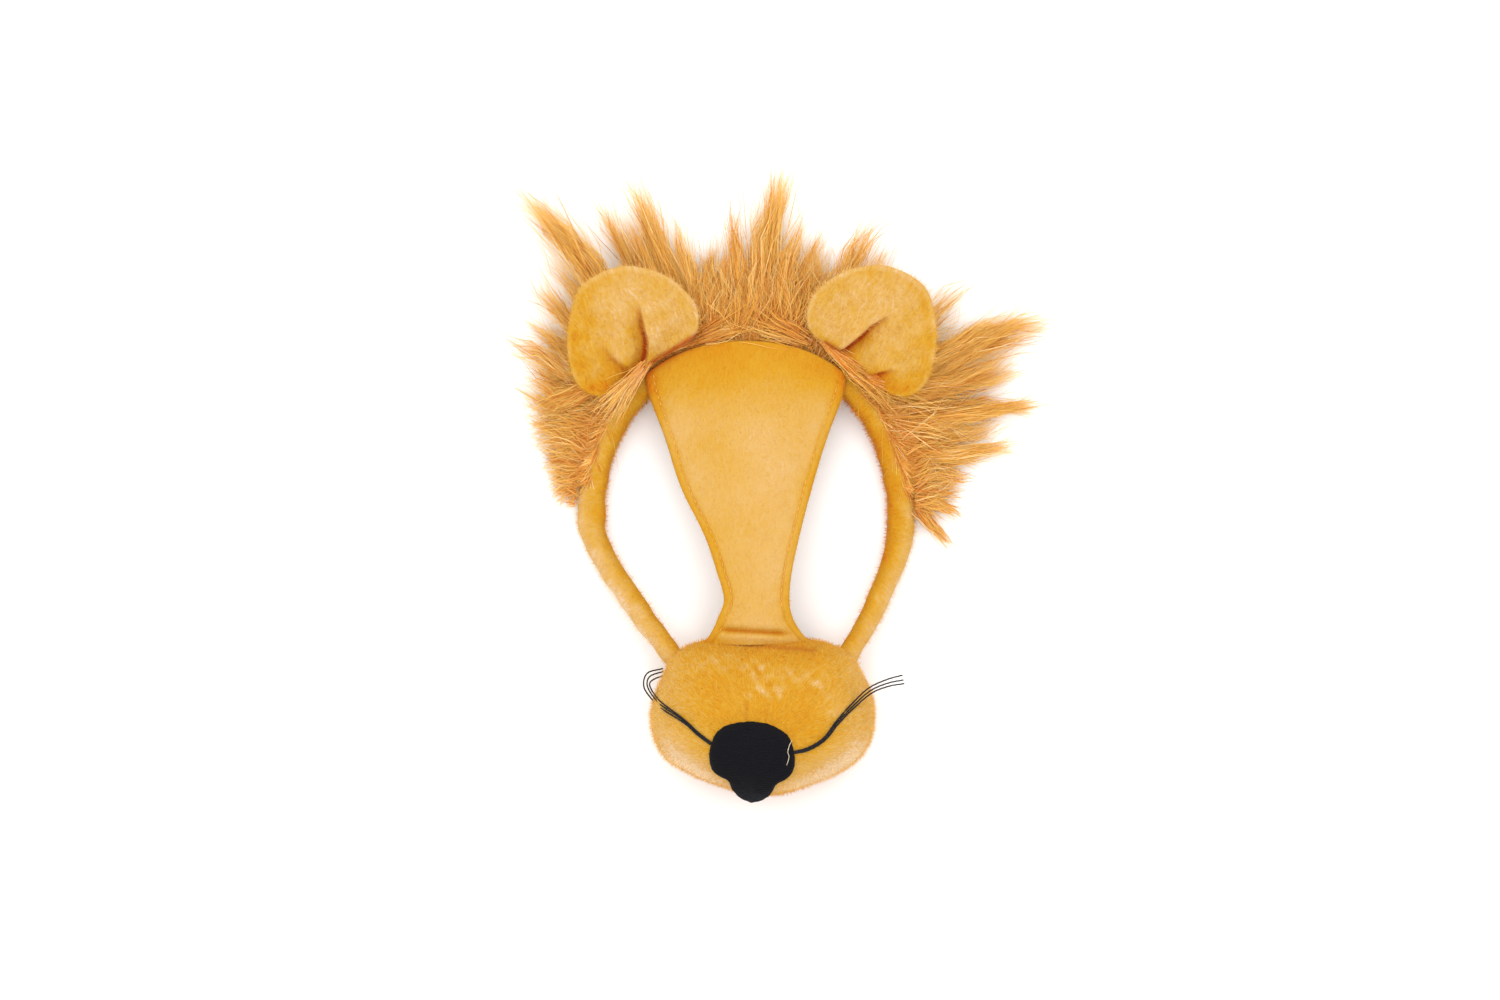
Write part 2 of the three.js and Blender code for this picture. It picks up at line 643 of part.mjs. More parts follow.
// The nose pad's outline, drawn through the muzzle at right angles to the pad
function noseCutter(grow = 0) {
  const tilt = degrees(noseTilt);
  const up = new THREE.Vector3(0, Math.cos(tilt), Math.sin(tilt));
  const facing = new THREE.Vector3(0, -Math.sin(tilt), Math.cos(tilt));
  const middle = new THREE.Vector3(
    muzzleAside + noseAside,
    -muzzleBelowBand - noseBelowMuzzle,
    muzzleDepth * 0.96,
  );
  const half = noseOutline.map(
    ({ side, up: down }) => new THREE.Vector2((side * noseWidth) / 2, noseRaise - down * noseHeight),
  );
  const edge = new THREE.SplineCurve([...half, ...half.slice(1, -1).reverse().map((p) => new THREE.Vector2(-p.x, p.y))]);
  edge.points.push(edge.points[0].clone());
  const around = edge.getPoints(42).slice(0, -1);
  const heart = new THREE.Vector2(0, noseRaise - noseHeight * 0.4);
  const ringAt = (height) =>
    around.map((p) => {
      const swell = p.clone().sub(heart).setLength(grow);
      return middle
        .clone()
        .addScaledVector(new THREE.Vector3(1, 0, 0), p.x + swell.x)
        .addScaledVector(up, p.y + swell.y)
        .addScaledVector(facing, height);
    });
  const reach = muzzleDepth * 0.42;
  return loft([ringAt(-reach), ringAt(reach)]);
}

function noseSolid() {
  const pad = muzzleForm(seamGap + nosePad).subtract(muzzleForm(seamGap));
  return mainBody(noseCutter().intersect(pad));
}

// Three threads side by side over the muzzle, fused where they touch, then fanning out
function whiskerSolid({ over, free, fan }) {
  const clear = whiskerLift + whiskerThread / 2;
  const threads = [-1, 0, 1].map((number) => {
    const shift = number * whiskerThread * 0.8;
    const points = over.map(({ turn, rise }) => {
      const point = muzzlePoint(turn, rise, clear);
      return point.setY(point.y - shift);
    });
    const leave = points.at(-1);
    free.forEach((stop, k) => {
      const spread = (number * (k + 1)) / free.length;
      const reach = (way) => (stop[way] + fan[way] * spread) * whiskerFree;
      points.push(leave.clone().add(new THREE.Vector3(reach("side"), reach("up"), reach("forward"))));
    });
    const size = { width: whiskerThread, thickness: whiskerThread, taper: 0.8, steps: 16, sides: 5 };
    return tube(new THREE.CatmullRomCurve3(points), size);
  });
  const nose = noseCutter(seamGap).intersect(muzzleForm(2 * seamGap + nosePad));
  const joined = threads.reduce((sum, one) => sum.add(one));
  return mainBody(joined.subtract(muzzleForm(seamGap)).subtract(nose));
}

// A repeatable spread of values from 0 to 1
function scatter(number) {
  const wave = Math.sin(number * 12.9898 + 4.1) * 43758.5453;
  return wave - Math.floor(wave);
}

// Underfur: a thick fringe round the outside of the headband, its edge in short points
function underfurSolid() {
  const rings = [];
  for (let i = 0; i <= furPoints; i++) {
    const along = furStart + ((furEnd - furStart) * i) / furPoints;
    const { point, way, out } = archAt(along);
    const front = bandFront(along) + furFront;
    const jag = i % 2 ? 0.9 + 0.25 * scatter(i) : 0.58 + 0.12 * scatter(i);
    const reach = read(underfur, "along", "reach", along) * underfurLength * jag;
    const lean = (scatter(i + 200) - 0.5) * 1.6;
    const root = bandPad / 2 + seamGap;
    const tip = furRoom + furTipDepth + (front - furRoom) * 0.3;
    const at = (outside, height, shear = 0) =>
      point.clone().addScaledVector(out, outside).addScaledVector(way, shear).setZ(height);
    rings.push([
      at(root, furRoom),
      at(root + furBacking + reach * 0.5, furRoom, lean * 0.5),
      at(root + furBacking + reach, tip - furTipDepth, lean),
      at(root + furBacking + reach, tip, lean),
      at(root + furBacking + reach * 0.5, front * 0.8, lean * 0.5),
      at(root, front),
    ]);
  }
  return loft(rings);
}

// A lock of hair: a curved spike, flatter than it is wide
function lockSolid(lock) {
  const { point, out } = archAt(lock.along);
  const girth = lock.girth * lockGirth;
  const height = furRoom + girth * 0.3 + (bandFront(lock.along) - girth * 0.3) * lock.level;
  const root = point.clone().addScaledVector(out, bandPad / 2 + seamGap + 1).setZ(height);
  const reach = new THREE.Vector3(lock.side, lock.up, 0).multiplyScalar(lockLength);
  const aside = new THREE.Vector3(-reach.y, reach.x, 0);
  const droop = Math.min(height - furRoom - 1, reach.length() * 0.08);
  const curve = new THREE.QuadraticBezierCurve3(
    root,
    root.clone().addScaledVector(reach, 0.55).addScaledVector(aside, -lock.bend),
    root.clone().add(reach).setZ(height - droop),
  );
  const sides = 5;
  const profile = [
    { at: 0, size: 0.75 },
    { at: 0.3, size: 1 },
    { at: 0.6, size: 0.72 },
    { at: 0.85, size: 0.34 },
    { at: 1, size: 0.06 },
  ];
  const rings = profile.map(({ at, size }) => {
    const way = curve.getTangent(at);
    const across = new THREE.Vector3(-way.y, way.x, 0).normalize();
    const middle = curve.getPoint(at);
    const flat = Math.min(girth * 0.3 * size, middle.z - furRoom);
    return Array.from({ length: sides }, (_, k) => {
      const turn = (k / sides) * 2 * Math.PI;
      return middle
        .clone()
        .addScaledVector(across, (Math.cos(turn) * girth * size) / 2)
        .add(new THREE.Vector3(0, 0, Math.sin(turn) * flat));
    });
  });
  return loft(rings);
}

function maneSolid() {
  const grown = locks.reduce((sum, lock) => sum.add(lockSolid(lock)), underfurSolid());
  const neighbours = [
    headbandSolid(seamGap),
    panelSolid(seamGap),
    ...ears.map((ear) => earSolid(ear, seamGap)),
    ...straps.map((strap) => strapForm(strap, seamGap)),
  ];
  return mainBody(neighbours.reduce((rest, one) => rest.subtract(one), grown));
}

const mask = new THREE.Group();
mask.add(meshOf("headband", headbandSolid(), plush));
for (const strap of straps) mask.add(meshOf(strap.name, strapSolid(strap), plush));
const fittedPanel = panelSolid().subtract(headbandSolid(seamGap)).subtract(muzzleForm(seamGap));
mask.add(meshOf("forehead_panel", mainBody(fittedPanel), plush));
mask.add(meshOf("muzzle", muzzleSolid(), plush));
mask.add(meshOf("nose", noseSolid(), blackKnit));
for (const ear of ears) mask.add(meshOf(ear.name, earFitted(ear), plush));
for (const side of whiskers) mask.add(meshOf(side.name, whiskerSolid(side), thread));
mask.add(meshOf("mane", maneSolid(), fur));

export default mask;
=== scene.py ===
import math

import bpy
import numpy as np
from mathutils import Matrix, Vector
from mathutils.bvhtree import BVHTree


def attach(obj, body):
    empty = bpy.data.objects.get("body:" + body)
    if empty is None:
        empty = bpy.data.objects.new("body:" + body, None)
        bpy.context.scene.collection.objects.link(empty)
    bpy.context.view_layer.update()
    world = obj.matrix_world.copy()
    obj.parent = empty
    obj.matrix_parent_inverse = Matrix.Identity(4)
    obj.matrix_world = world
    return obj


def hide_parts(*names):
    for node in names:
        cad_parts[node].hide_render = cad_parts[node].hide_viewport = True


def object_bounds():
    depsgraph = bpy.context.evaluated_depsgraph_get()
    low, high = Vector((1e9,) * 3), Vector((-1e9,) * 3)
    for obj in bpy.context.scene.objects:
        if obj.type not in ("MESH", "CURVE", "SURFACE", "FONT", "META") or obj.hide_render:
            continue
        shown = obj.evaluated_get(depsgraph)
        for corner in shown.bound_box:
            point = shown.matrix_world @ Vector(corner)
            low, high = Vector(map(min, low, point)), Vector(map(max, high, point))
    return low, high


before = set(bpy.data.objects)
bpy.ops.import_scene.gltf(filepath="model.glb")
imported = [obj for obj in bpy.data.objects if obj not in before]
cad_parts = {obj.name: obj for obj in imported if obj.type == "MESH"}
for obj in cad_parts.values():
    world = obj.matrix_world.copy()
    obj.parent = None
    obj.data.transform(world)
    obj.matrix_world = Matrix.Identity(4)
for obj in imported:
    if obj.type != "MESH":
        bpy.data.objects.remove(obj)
cadBox = [list(corner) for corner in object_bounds()]
mm = 0.001  # metres in a millimetre

# Tables in millimetres and shares, as in the part's own source

bandDepths = [(0, 0), (0.14, 0.32), (0.3, 0.9), (0.5, 1), (0.7, 0.9), (0.86, 0.32), (1, 0)]
muzzleOutline = [(-90, 0.735), (-72, 0.74), (-55, 0.77), (-38, 0.855), (-22, 0.97), (-8, 1.01), (8, 0.99),
                 (22, 0.965), (36, 0.94), (55, 0.82), (72, 0.72), (90, 0.685)]
muzzleLevels = [(0, 0.88, 0), (0.15, 0.955, 0), (0.32, 1, 0), (0.48, 0.985, 0.005), (0.62, 0.925, 0.025),
                (0.75, 0.825, 0.055), (0.86, 0.675, 0.095), (0.94, 0.48, 0.13), (0.985, 0.25, 0.16),
                (1, 0.08, 0.17)]
floorGap = 0.02  # how far the cloth stays above the floor
pileGap = 0.2  # and the short hairs
strandGap = 0.3  # and the mane's


def readTable(rows, at, column=1):  # smoothly between a table's rows
    table = np.array(rows, float)
    x, y = table[:, 0], table[:, column]
    last = len(x) - 1
    at = np.clip(np.asarray(at, float), x[0], x[-1])
    before, after = np.maximum(np.arange(last + 1) - 1, 0), np.minimum(np.arange(last + 1) + 1, last)
    slopes = (y[after] - y[before]) / (x[after] - x[before])
    k = np.clip(np.searchsorted(x, at) - 1, 0, last - 1)
    step = x[k + 1] - x[k]
    t = (at - x[k]) / step
    return ((2 * t**3 - 3 * t**2 + 1) * y[k] + (t**3 - 2 * t**2 + t) * step * slopes[k]
            + (3 * t**2 - 2 * t**3) * y[k + 1] + (t**3 - t**2) * step * slopes[k + 1])


def unit(vectors):
    return vectors / np.maximum(np.linalg.norm(vectors, axis=-1, keepdims=True), 1e-12)


def bell(offset, width):
    return np.exp(-((offset / width) ** 2))


def smoothStep(start, end, at):
    t = np.clip((at - start) / (end - start), 0, 1)
    return t * t * (3 - 2 * t)


def softNoise(points, size, seed, waves=14):  # about -1 to 1, with bumps of a size in millimetres
    rng = np.random.default_rng(seed)
    total = np.zeros(points.shape[:-1])
    for _ in range(waves):
        way = unit(rng.normal(size=3))
        finer, phase = rng.uniform(0.6, 1.6), rng.uniform(0, 2 * math.pi)
        total += np.sin(points @ way * 2 * math.pi / size * finer + phase)
    return total / math.sqrt(waves)


def stack(*parts):  # numbers that broadcast together, as points
    return np.stack(np.broadcast_arrays(*parts), axis=-1)


def normalsOf(grid):  # of a grid of points
    down, across = np.gradient(grid, axis=0), np.gradient(grid, axis=1)
    return unit(np.cross(down, across))


def ringNormals(grid):  # of rows that each close into a ring
    return normalsOf(np.concatenate([grid, grid[:, :1]], axis=1))[:, :-1]


def lengthAlong(points, axis):  # measured from the first row or column
    steps = np.diff(points, axis=axis, prepend=np.take(points, [0], axis=axis))
    return np.cumsum(np.linalg.norm(steps, axis=-1), axis=axis)


def crowded(count, power):  # from -1 to 1, closer together near both ends
    spread = np.linspace(-1, 1, count)
    return np.sign(spread) * (1 - (1 - np.abs(spread)) ** power)


def rolledEdge(edge, width):  # from 0 at a sheet's edge to 1, in a quarter circle
    return np.sqrt(np.clip(1 - (1 - np.minimum(edge / width, 1)) ** 2, 0, 1))


def signedPower(values, power):
    return np.sign(values) * np.abs(values) ** power


def gridFaces(rows, columns, ring):  # quads over rows of points, each a closed ring or an open line
    row = np.arange(rows - 1)[:, None]
    column = np.arange(columns if ring else columns - 1)[None, :]
    after = (column + 1) % columns
    quads = np.stack([row * columns + column, row * columns + after,
                      (row + 1) * columns + after, (row + 1) * columns + column], axis=-1)
    return quads.reshape(-1, 4).tolist()


def closeEnds(points, faces, columns, values):  # a fan over the first and the last ring
    count = len(points)
    ends = [np.arange(columns), np.arange(count - columns, count)]
    middles = np.array([points[end].mean(axis=0) for end in ends])
    for k, end in enumerate(ends):
        turned = np.roll(end, -1)
        for a, b in zip(end.tolist(), turned.tolist()):
            faces.append([b, a, count + k] if k == 0 else [a, b, count + k])
    more = {label: np.concatenate([numbers, [numbers[end].mean(axis=0) for end in ends]])
            for label, numbers in values.items()}
    return np.concatenate([points, middles]), faces, more


def storeValues(mesh, values):  # numbers or directions for each point
    for label, numbers in values.items():
        kind, field = ("FLOAT_VECTOR", "vector") if numbers.ndim == 2 else ("FLOAT", "value")
        mesh.attributes.new(label, kind, "POINT").data.foreach_set(field, numbers.astype(np.float32).ravel())


def newObject(name, data):
    made = bpy.data.objects.new(name, data)
    bpy.context.collection.objects.link(made)
    return made


def makePiece(name, points, faces, material, values=None):
    corners = np.array([[face[0], face[k], face[k + 1]] for face in faces for k in range(1, len(face) - 1)])
    a, b, c = (points[corners[:, k]] for k in range(3))
    if np.einsum("ij,ij->i", a, np.cross(b, c)).sum() < 0:  # turned so that the faces point outwards
        faces = [face[::-1] for face in faces]
    mesh = bpy.data.meshes.new(name)
    mesh.from_pydata((points * mm).tolist(), [], faces)
    storeValues(mesh, values or {})
    mesh.shade_smooth()
    mesh.materials.append(material)
    return newObject(name, mesh)


def segmentDistance(points, start, end):
    way = np.subtract(end, start)
    along = np.clip((points - np.array(start)) @ way / (way @ way), 0, 1)
    return np.linalg.norm(points - start - along[..., None] * way, axis=-1)


def lathe(name, grid, material, values=None):  # a closed piece from a grid of rings
    rows, columns = grid.shape[:2]
    flat = {label: numbers.reshape(rows * columns, *numbers.shape[2:])
            for label, numbers in (values or {}).items()}
    points, faces, more = closeEnds(grid.reshape(-1, 3), gridFaces(rows, columns, True), columns, flat)
    return makePiece(name, points, faces, material, more)


def finishPiece(piece, slot, *nodes, fill=None):
    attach(piece, "root")
    if nodes:
        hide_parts(*nodes)
    return piece


# Node trees

def add(tree, kind, inputs=None, **settings):
    node = tree.nodes.new(kind)
    for label, value in settings.items():
        setattr(node, label, value)
    for label, value in (inputs or {}).items():
        if isinstance(value, bpy.types.NodeSocket):
            tree.links.new(value, node.inputs[label])
        else:
            node.inputs[label].default_value = value
    return node


def mixed(tree, share, a, b, kind="RGBA"):
    first, second, result = {"VECTOR": (4, 5, 1), "RGBA": (6, 7, 2)}[kind]
    return add(tree, "ShaderNodeMix", {0: share, first: a, second: b}, data_type=kind).outputs[result]


def maths(tree, operation, *values, clamp=False):
    node = add(tree, "ShaderNodeMath", dict(enumerate(values)), operation=operation, use_clamp=clamp)
    return node.outputs[0]


def vectors(tree, operation, *values, scale=None):
    inputs = dict(enumerate(values))
    if scale is not None:
        inputs["Scale"] = scale
    node = add(tree, "ShaderNodeVectorMath", inputs, operation=operation)
    return node.outputs["Value"] if operation == "LENGTH" else node.outputs[0]


def combine(tree, x=0.0, y=0.0, z=0.0):
    return add(tree, "ShaderNodeCombineXYZ", {0: x, 1: y, 2: z}).outputs[0]


def attribute(tree, label, output="Fac"):
    return add(tree, "ShaderNodeAttribute", attribute_name=label).outputs[output]


def named(tree, label, kind="FLOAT_VECTOR"):
    return add(tree, "GeometryNodeInputNamedAttribute", {"Name": label}, data_type=kind).outputs[0]


def realized(tree, geometry):
    return add(tree, "GeometryNodeRealizeInstances", {"Geometry": geometry}).outputs[0]


def colour(red, green, blue):  # a screen colour, 0 to 255, as the light that it stands for
    return tuple(((c / 255 + 0.055) / 1.055) ** 2.4 if c > 10 else c / 3295
                 for c in (red, green, blue)) + (1,)


def noise(tree, place, size, detail=2.0, roughness=0.5, output=0):
    node = add(tree, "ShaderNodeTexNoise",
               {"Vector": place, "Scale": 1 / size, "Detail": detail, "Roughness": roughness})
    return node.outputs[output]


def ramp(tree, share, stops):
    node = add(tree, "ShaderNodeValToRGB", {0: share})
    band = node.color_ramp
    while len(band.elements) < len(stops):
        band.elements.new(0.5)
    for element, (place, shade) in zip(band.elements, stops):
        element.position, element.color = place, shade
    return node.outputs[0]


def newMaterial(name, roughness, sheen=0.0, sheenRoughness=0.5, sheenTint=(1, 1, 1, 1), specular=0.5):
    material = bpy.data.materials.new(name)
    material.use_nodes = True
    shader = material.node_tree.nodes["Principled BSDF"]
    looks = {"Roughness": roughness, "Sheen Weight": sheen, "Sheen Roughness": sheenRoughness,
             "Sheen Tint": sheenTint, "Specular IOR Level": specular}
    for label, value in looks.items():
        shader.inputs[label].default_value = value
    return material, material.node_tree, shader


def bump(tree, shader, height, strength, distance):
    made = add(tree, "ShaderNodeBump", {"Height": height, "Strength": strength, "Distance": distance})
    tree.links.new(made.outputs[0], shader.inputs["Normal"])


# Materials

plush = {
    "swirlSize": 14, "swirl": 9.0, "comb": (1.1, 0.2, 1), "grain": 0.0008, "grainContrast": 0.25,
    # fold: the colour of painted shade, mixed in where creases, seams and gaps are marked for it
    "streakHeight": 1.4, "bump": 0.45, "bumpDepth": 0.0004, "fold": colour(156, 56, 8),
    "stops": [(0, colour(182, 92, 12)), (0.22, colour(186, 124, 20)), (0.44, colour(189, 138, 34)),
              (0.66, colour(193, 149, 70)), (0.84, colour(197, 157, 95)), (1, colour(206, 177, 138))],
}
furColours = {
    "root": colour(206, 112, 30),
    "stops": [(0, colour(202, 118, 34)), (0.35, colour(234, 179, 78)), (0.65, colour(244, 203, 110)),
              (1, colour(252, 229, 172))],
}


def makePlush(name, patchSize, patchContrast, streakContrast, light=1.0):
    material, tree, shader = newMaterial(name, roughness=0.95, sheen=0.2, sheenRoughness=0.4,
                                         sheenTint=colour(255, 214, 140), specular=0.12)
    place = add(tree, "ShaderNodeTexCoord").outputs["Object"]
    glow, shadedCrease, lay = attribute(tree, "glow"), attribute(tree, "shadedCrease"), attribute(tree, "lay", "Vector")
    patches = noise(tree, place, patchSize, 4.0, 0.62)
    cloudy = noise(tree, lay, plush["swirlSize"], 1.0, 0.5, output=1)
    swirl = vectors(tree, "SUBTRACT", cloudy, (0.5, 0.5, 0.5))
    swirled = vectors(tree, "ADD", lay, vectors(tree, "SCALE", swirl, scale=plush["swirl"]))
    combed = add(tree, "ShaderNodeMapping", {"Vector": swirled, "Scale": plush["comb"]}).outputs[0]
    streaks = noise(tree, combed, 1.0, 3.0, 0.65)
    pile = noise(tree, place, plush["grain"], 3.0, 0.6)
    # glow carries the cloth's own tone together with painted light and shade, set for each piece
    shade = glow
    for pattern, contrast in ((patches, patchContrast), (streaks, streakContrast),
                              (pile, plush["grainContrast"])):
        shade = maths(tree, "MULTIPLY_ADD", maths(tree, "SUBTRACT", pattern, 0.5), contrast, shade)
    stops = [(at, tuple(light * part for part in paint[:3]) + (1,)) for at, paint in plush["stops"]]
    # painted shade: the fold colour mixed in where creases, seams and gaps are marked
    base = mixed(tree, shadedCrease, ramp(tree, shade, stops), plush["fold"])
    tree.links.new(base, shader.inputs["Base Color"])
    height = maths(tree, "MULTIPLY_ADD", streaks, plush["streakHeight"], pile)
    bump(tree, shader, height, plush["bump"], plush["bumpDepth"])
    return material


def makeMane():
    material, tree, shader = newMaterial("mane fur", roughness=0.6, sheen=0.25,
                                         sheenTint=colour(255, 214, 150), specular=0.15)
    hair = ramp(tree, attribute(tree, "tone"), furColours["stops"])
    nearRoot = maths(tree, "MULTIPLY_ADD", attribute(tree, "shaft"), -0.9, 0.5, clamp=True)
    tree.links.new(mixed(tree, nearRoot, hair, furColours["root"]), shader.inputs["Base Color"])
    return material


def makeKnit():
    material, tree, shader = newMaterial("black knit", roughness=0.85, sheen=0.03, sheenRoughness=0.4,
                                         sheenTint=colour(120, 118, 130), specular=0.12)
    place = add(tree, "ShaderNodeTexCoord").outputs["Object"]
    yarn = noise(tree, place, 0.0005, 3.0, 0.6)
    tree.links.new(ramp(tree, yarn, [(0.3, colour(5, 5, 8)), (0.7, colour(18, 17, 22))]),
                   shader.inputs["Base Color"])
    bump(tree, shader, yarn, 0.5, 0.0003)
    return material


def makeThread(name, low, high, roughness, specular=0.4):
    material, tree, shader = newMaterial(name, roughness=roughness, specular=specular)
    place = add(tree, "ShaderNodeTexCoord").outputs["Object"]
    twist = noise(tree, place, 0.0006, 2.0)
    tree.links.new(ramp(tree, twist, [(0.3, low), (0.7, high)]), shader.inputs["Base Color"])
    bump(tree, shader, twist, 0.3, 0.0002)
    return material


archPlush = makePlush("arch plush", patchSize=0.012, patchContrast=0.4, streakContrast=0.6)
panelPlush = makePlush("panel plush", patchSize=0.02, patchContrast=0.16, streakContrast=0.4)
muzzlePlush = makePlush("muzzle plush", patchSize=0.02, patchContrast=0.35, streakContrast=1.1)
earPlush = makePlush("ear plush", patchSize=0.03, patchContrast=0.06, streakContrast=0.9)
# The pile's copy of the plush colours is 1.4 times brighter: painted light that makes up for the shade on
# its thin hairs.
pilePlush = makePlush("plush pile", patchSize=0.02, patchContrast=0.1, streakContrast=0.3, light=1.4)
maneFur = makeMane()
noseKnit = makeKnit()
whiskerThread = makeThread("whisker thread", colour(9, 8, 11), colour(26, 25, 30), 0.7, 0.25)
paleThread = makeThread("pale thread", colour(196, 178, 150), colour(232, 220, 200), 0.8)


# Short pile, grown from a piece's faces

def newTree(name, sizes):
    tree = bpy.data.node_groups.new(name, "GeometryNodeTree")
    face = tree.interface
    face.new_socket("Geometry", in_out="INPUT", socket_type="NodeSocketGeometry")
    for label, (kind, value) in sizes.items():
        socket = face.new_socket(label, in_out="INPUT", socket_type="NodeSocket" + kind)
        if value is not None:
            socket.default_value = value
    face.new_socket("Geometry", in_out="OUTPUT", socket_type="NodeSocketGeometry")
    return tree, tree.nodes.new("NodeGroupInput").outputs, tree.nodes.new("NodeGroupOutput").inputs[0]


def aboveFloor(tree, geometry, place, clearance):
    parts = add(tree, "ShaderNodeSeparateXYZ", {0: place}).outputs
    held = combine(tree, parts[0], parts[1], maths(tree, "MAXIMUM", parts[2], clearance))
    return add(tree, "GeometryNodeSetPosition", {"Geometry": geometry, "Position": held}).outputs[0]


def endTree(tree, geometry, material, end):
    painted = add(tree, "GeometryNodeSetMaterial", {"Geometry": geometry, "Material": material}).outputs[0]
    tree.links.new(painted, end)
    return tree


def runTree(piece, tree, sizes):  # leaves the tree's result as the piece's plain mesh
    modifier = piece.modifiers.new(tree.name, "NODES")
    modifier.node_group = tree
    for item in tree.interface.items_tree:
        if item.in_out == "INPUT" and item.name in sizes:
            modifier[item.identifier] = sizes[item.name]
    seen = piece.evaluated_get(bpy.context.evaluated_depsgraph_get())
    made = bpy.data.meshes.new_from_object(seen)
    piece.modifiers.clear()
    before, piece.data = piece.data, made
    bpy.data.meshes.remove(before)
    made.name = piece.name
    made.shade_flat()
    made.materials.clear()
    made.materials.append(sizes["Material"])
    made.polygons.foreach_set("material_index", np.zeros(len(made.polygons), np.int32))
    return piece


def makePileTree():
    tree, given, end = newTree("grow pile", {
        "Density": ("Float", 800000.0), "Length": ("Float", 0.002), "Thickness": ("Float", 0.0001),
        "Lean": ("Float", 1.0), "Lay Size": ("Float", 0.02), "Seed": ("Int", 1),
        "Material": ("Material", None)})
    hairy, comb = named(tree, "hairy", "FLOAT"), named(tree, "comb")
    spread = add(tree, "GeometryNodeDistributePointsOnFaces",
                 {"Mesh": given["Geometry"], "Density": maths(tree, "MULTIPLY", given["Density"], hairy),
                  "Seed": given["Seed"]})
    hair = add(tree, "GeometryNodeMeshCone", {
        "Vertices": 3, "Side Segments": 1, "Radius Top": 0.0, "Radius Bottom": given["Thickness"],
        "Depth": given["Length"]}, fill_type="NONE")
    place = add(tree, "GeometryNodeInputPosition").outputs[0]
    field = vectors(tree, "DIVIDE", place, combine(tree, *[given["Lay Size"]] * 3))
    flow = add(tree, "ShaderNodeTexNoise", {"Vector": field, "Scale": 1.0, "Detail": 2.0}).outputs["Color"]
    lay = vectors(tree, "ADD", vectors(tree, "SUBTRACT", flow, (0.5, 0.5, 0.5)),
                  vectors(tree, "SCALE", comb, scale=0.35))
    stray = add(tree, "FunctionNodeRandomValue", {
        0: (-0.5, -0.5, -0.5), 1: (0.5, 0.5, 0.5), "Seed": given["Seed"]},
        data_type="FLOAT_VECTOR").outputs[0]
    way = vectors(tree, "ADD", vectors(tree, "ADD", spread.outputs["Normal"], stray),
                  vectors(tree, "SCALE", lay, scale=maths(tree, "MULTIPLY", given["Lean"], 3.0)))
    turn = add(tree, "FunctionNodeAlignRotationToVector", {"Vector": way}, axis="Z").outputs[0]
    size = add(tree, "FunctionNodeRandomValue", {2: 0.5, 3: 1.25, "Seed": given["Seed"]},
               data_type="FLOAT").outputs[1]
    grown = add(tree, "GeometryNodeInstanceOnPoints",
                {"Points": spread.outputs[0], "Instance": hair.outputs[0], "Rotation": turn, "Scale": size})
    real = realized(tree, grown.outputs[0])
    return endTree(tree, aboveFloor(tree, real, place, pileGap * mm), given["Material"], end)


pileTree = makePileTree()


def growPile(piece, density, length, lean, laySize, seed, thickness=0.16):
    pile = newObject(piece.name + "_pile", piece.data.copy())
    runTree(pile, pileTree, {"Density": density * 1e6 * 1, "Length": length * mm,
                             "Thickness": thickness * mm / 2, "Lean": lean, "Lay Size": laySize * mm,
                             "Seed": seed, "Material": pilePlush})
    print("pile of", piece.name, len(pile.data.polygons), "faces")
    return finishPiece(pile, "plush")


# Headband and cheek straps: one padded tube from cheek to cheek over the crown

arch = {"span": 151, "rise": 76.5, "pad": 12, "depth": 22, "endDepth": 11.5, "squareness": 2.2,
        "pressed": 0.04, "taper": 0.74, "seatSide": 40.5, "seatUp": 23, "seatHeight": 24, "seamGap": 0.3,
        "tuck": 6, "stations": 190, "strapStations": 80, "sides": 36, "lump": 0.28, "lumpSize": 16,
        # The two points below mark where a painted shadow darkens the band under the left ear.
        "earGapShadow": [(-46.5, -5.5), (-21.5, 6.5)], "earGapShadowWidth": 3.0, "sunk": 1.3, "glow": 0.46}
straps = {"left": {"side": -1, "seat": 1.02, "leaveDown": 0.16, "comeOut": 0.235, "comeUp": 0.36},
          "right": {"side": 1, "seat": 0.98, "leaveDown": 0.255, "comeOut": 0.165, "comeUp": 0.345}}
muzzle = {"width": 99.5, "height": 70.2, "depth": 65, "wall": 3, "below": 163, "aside": 7.5,
          "archHeight": 30, "archWidth": 62, "archLength": 120, "archUp": 0.95, "lip": 1.1, "around": 44,
          "seam": [(-20.7, -130), (31, -134.5)], "columns": 220, "outsideRows": 70, "insideRows": 20,
          "glow": 0.38}


def archPoint(share):
    turn = math.pi * (1 - np.asarray(share, float))
    power = 2 / arch["squareness"]
    across = signedPower(np.cos(turn), power)
    up = np.maximum(np.sin(turn), 0) ** power
    return stack(across * (arch["span"] - arch["pad"]) / 2, (up - 1) * arch["rise"], 0 * across)


def archAt(along):  # the middle of the padding, the way along and the way out from the head
    way = unit(archPoint(np.minimum(along + 0.002, 1)) - archPoint(np.maximum(along - 0.002, 0)))
    return archPoint(along), way, stack(-way[..., 1], way[..., 0], 0)


def archHeight(side):
    share = np.minimum(np.abs(side) / ((arch["span"] - arch["pad"]) / 2), 1)
    return arch["rise"] * ((1 - share ** arch["squareness"]) ** (1 / arch["squareness"]) - 1)


def bandFront(along):
    return arch["endDepth"] + (arch["depth"] - arch["endDepth"]) * readTable(bandDepths, along)


def muzzleReach(turn, girth):
    folded = np.degrees(np.arcsin(np.clip(np.sin(turn), -1, 1)))
    return readTable(muzzleOutline, folded) * muzzle["width"] * girth / 2


muzzleSquash = muzzle["height"] / ((muzzleOutline[0][1] + muzzleOutline[-1][1]) * muzzle["width"] / 2)


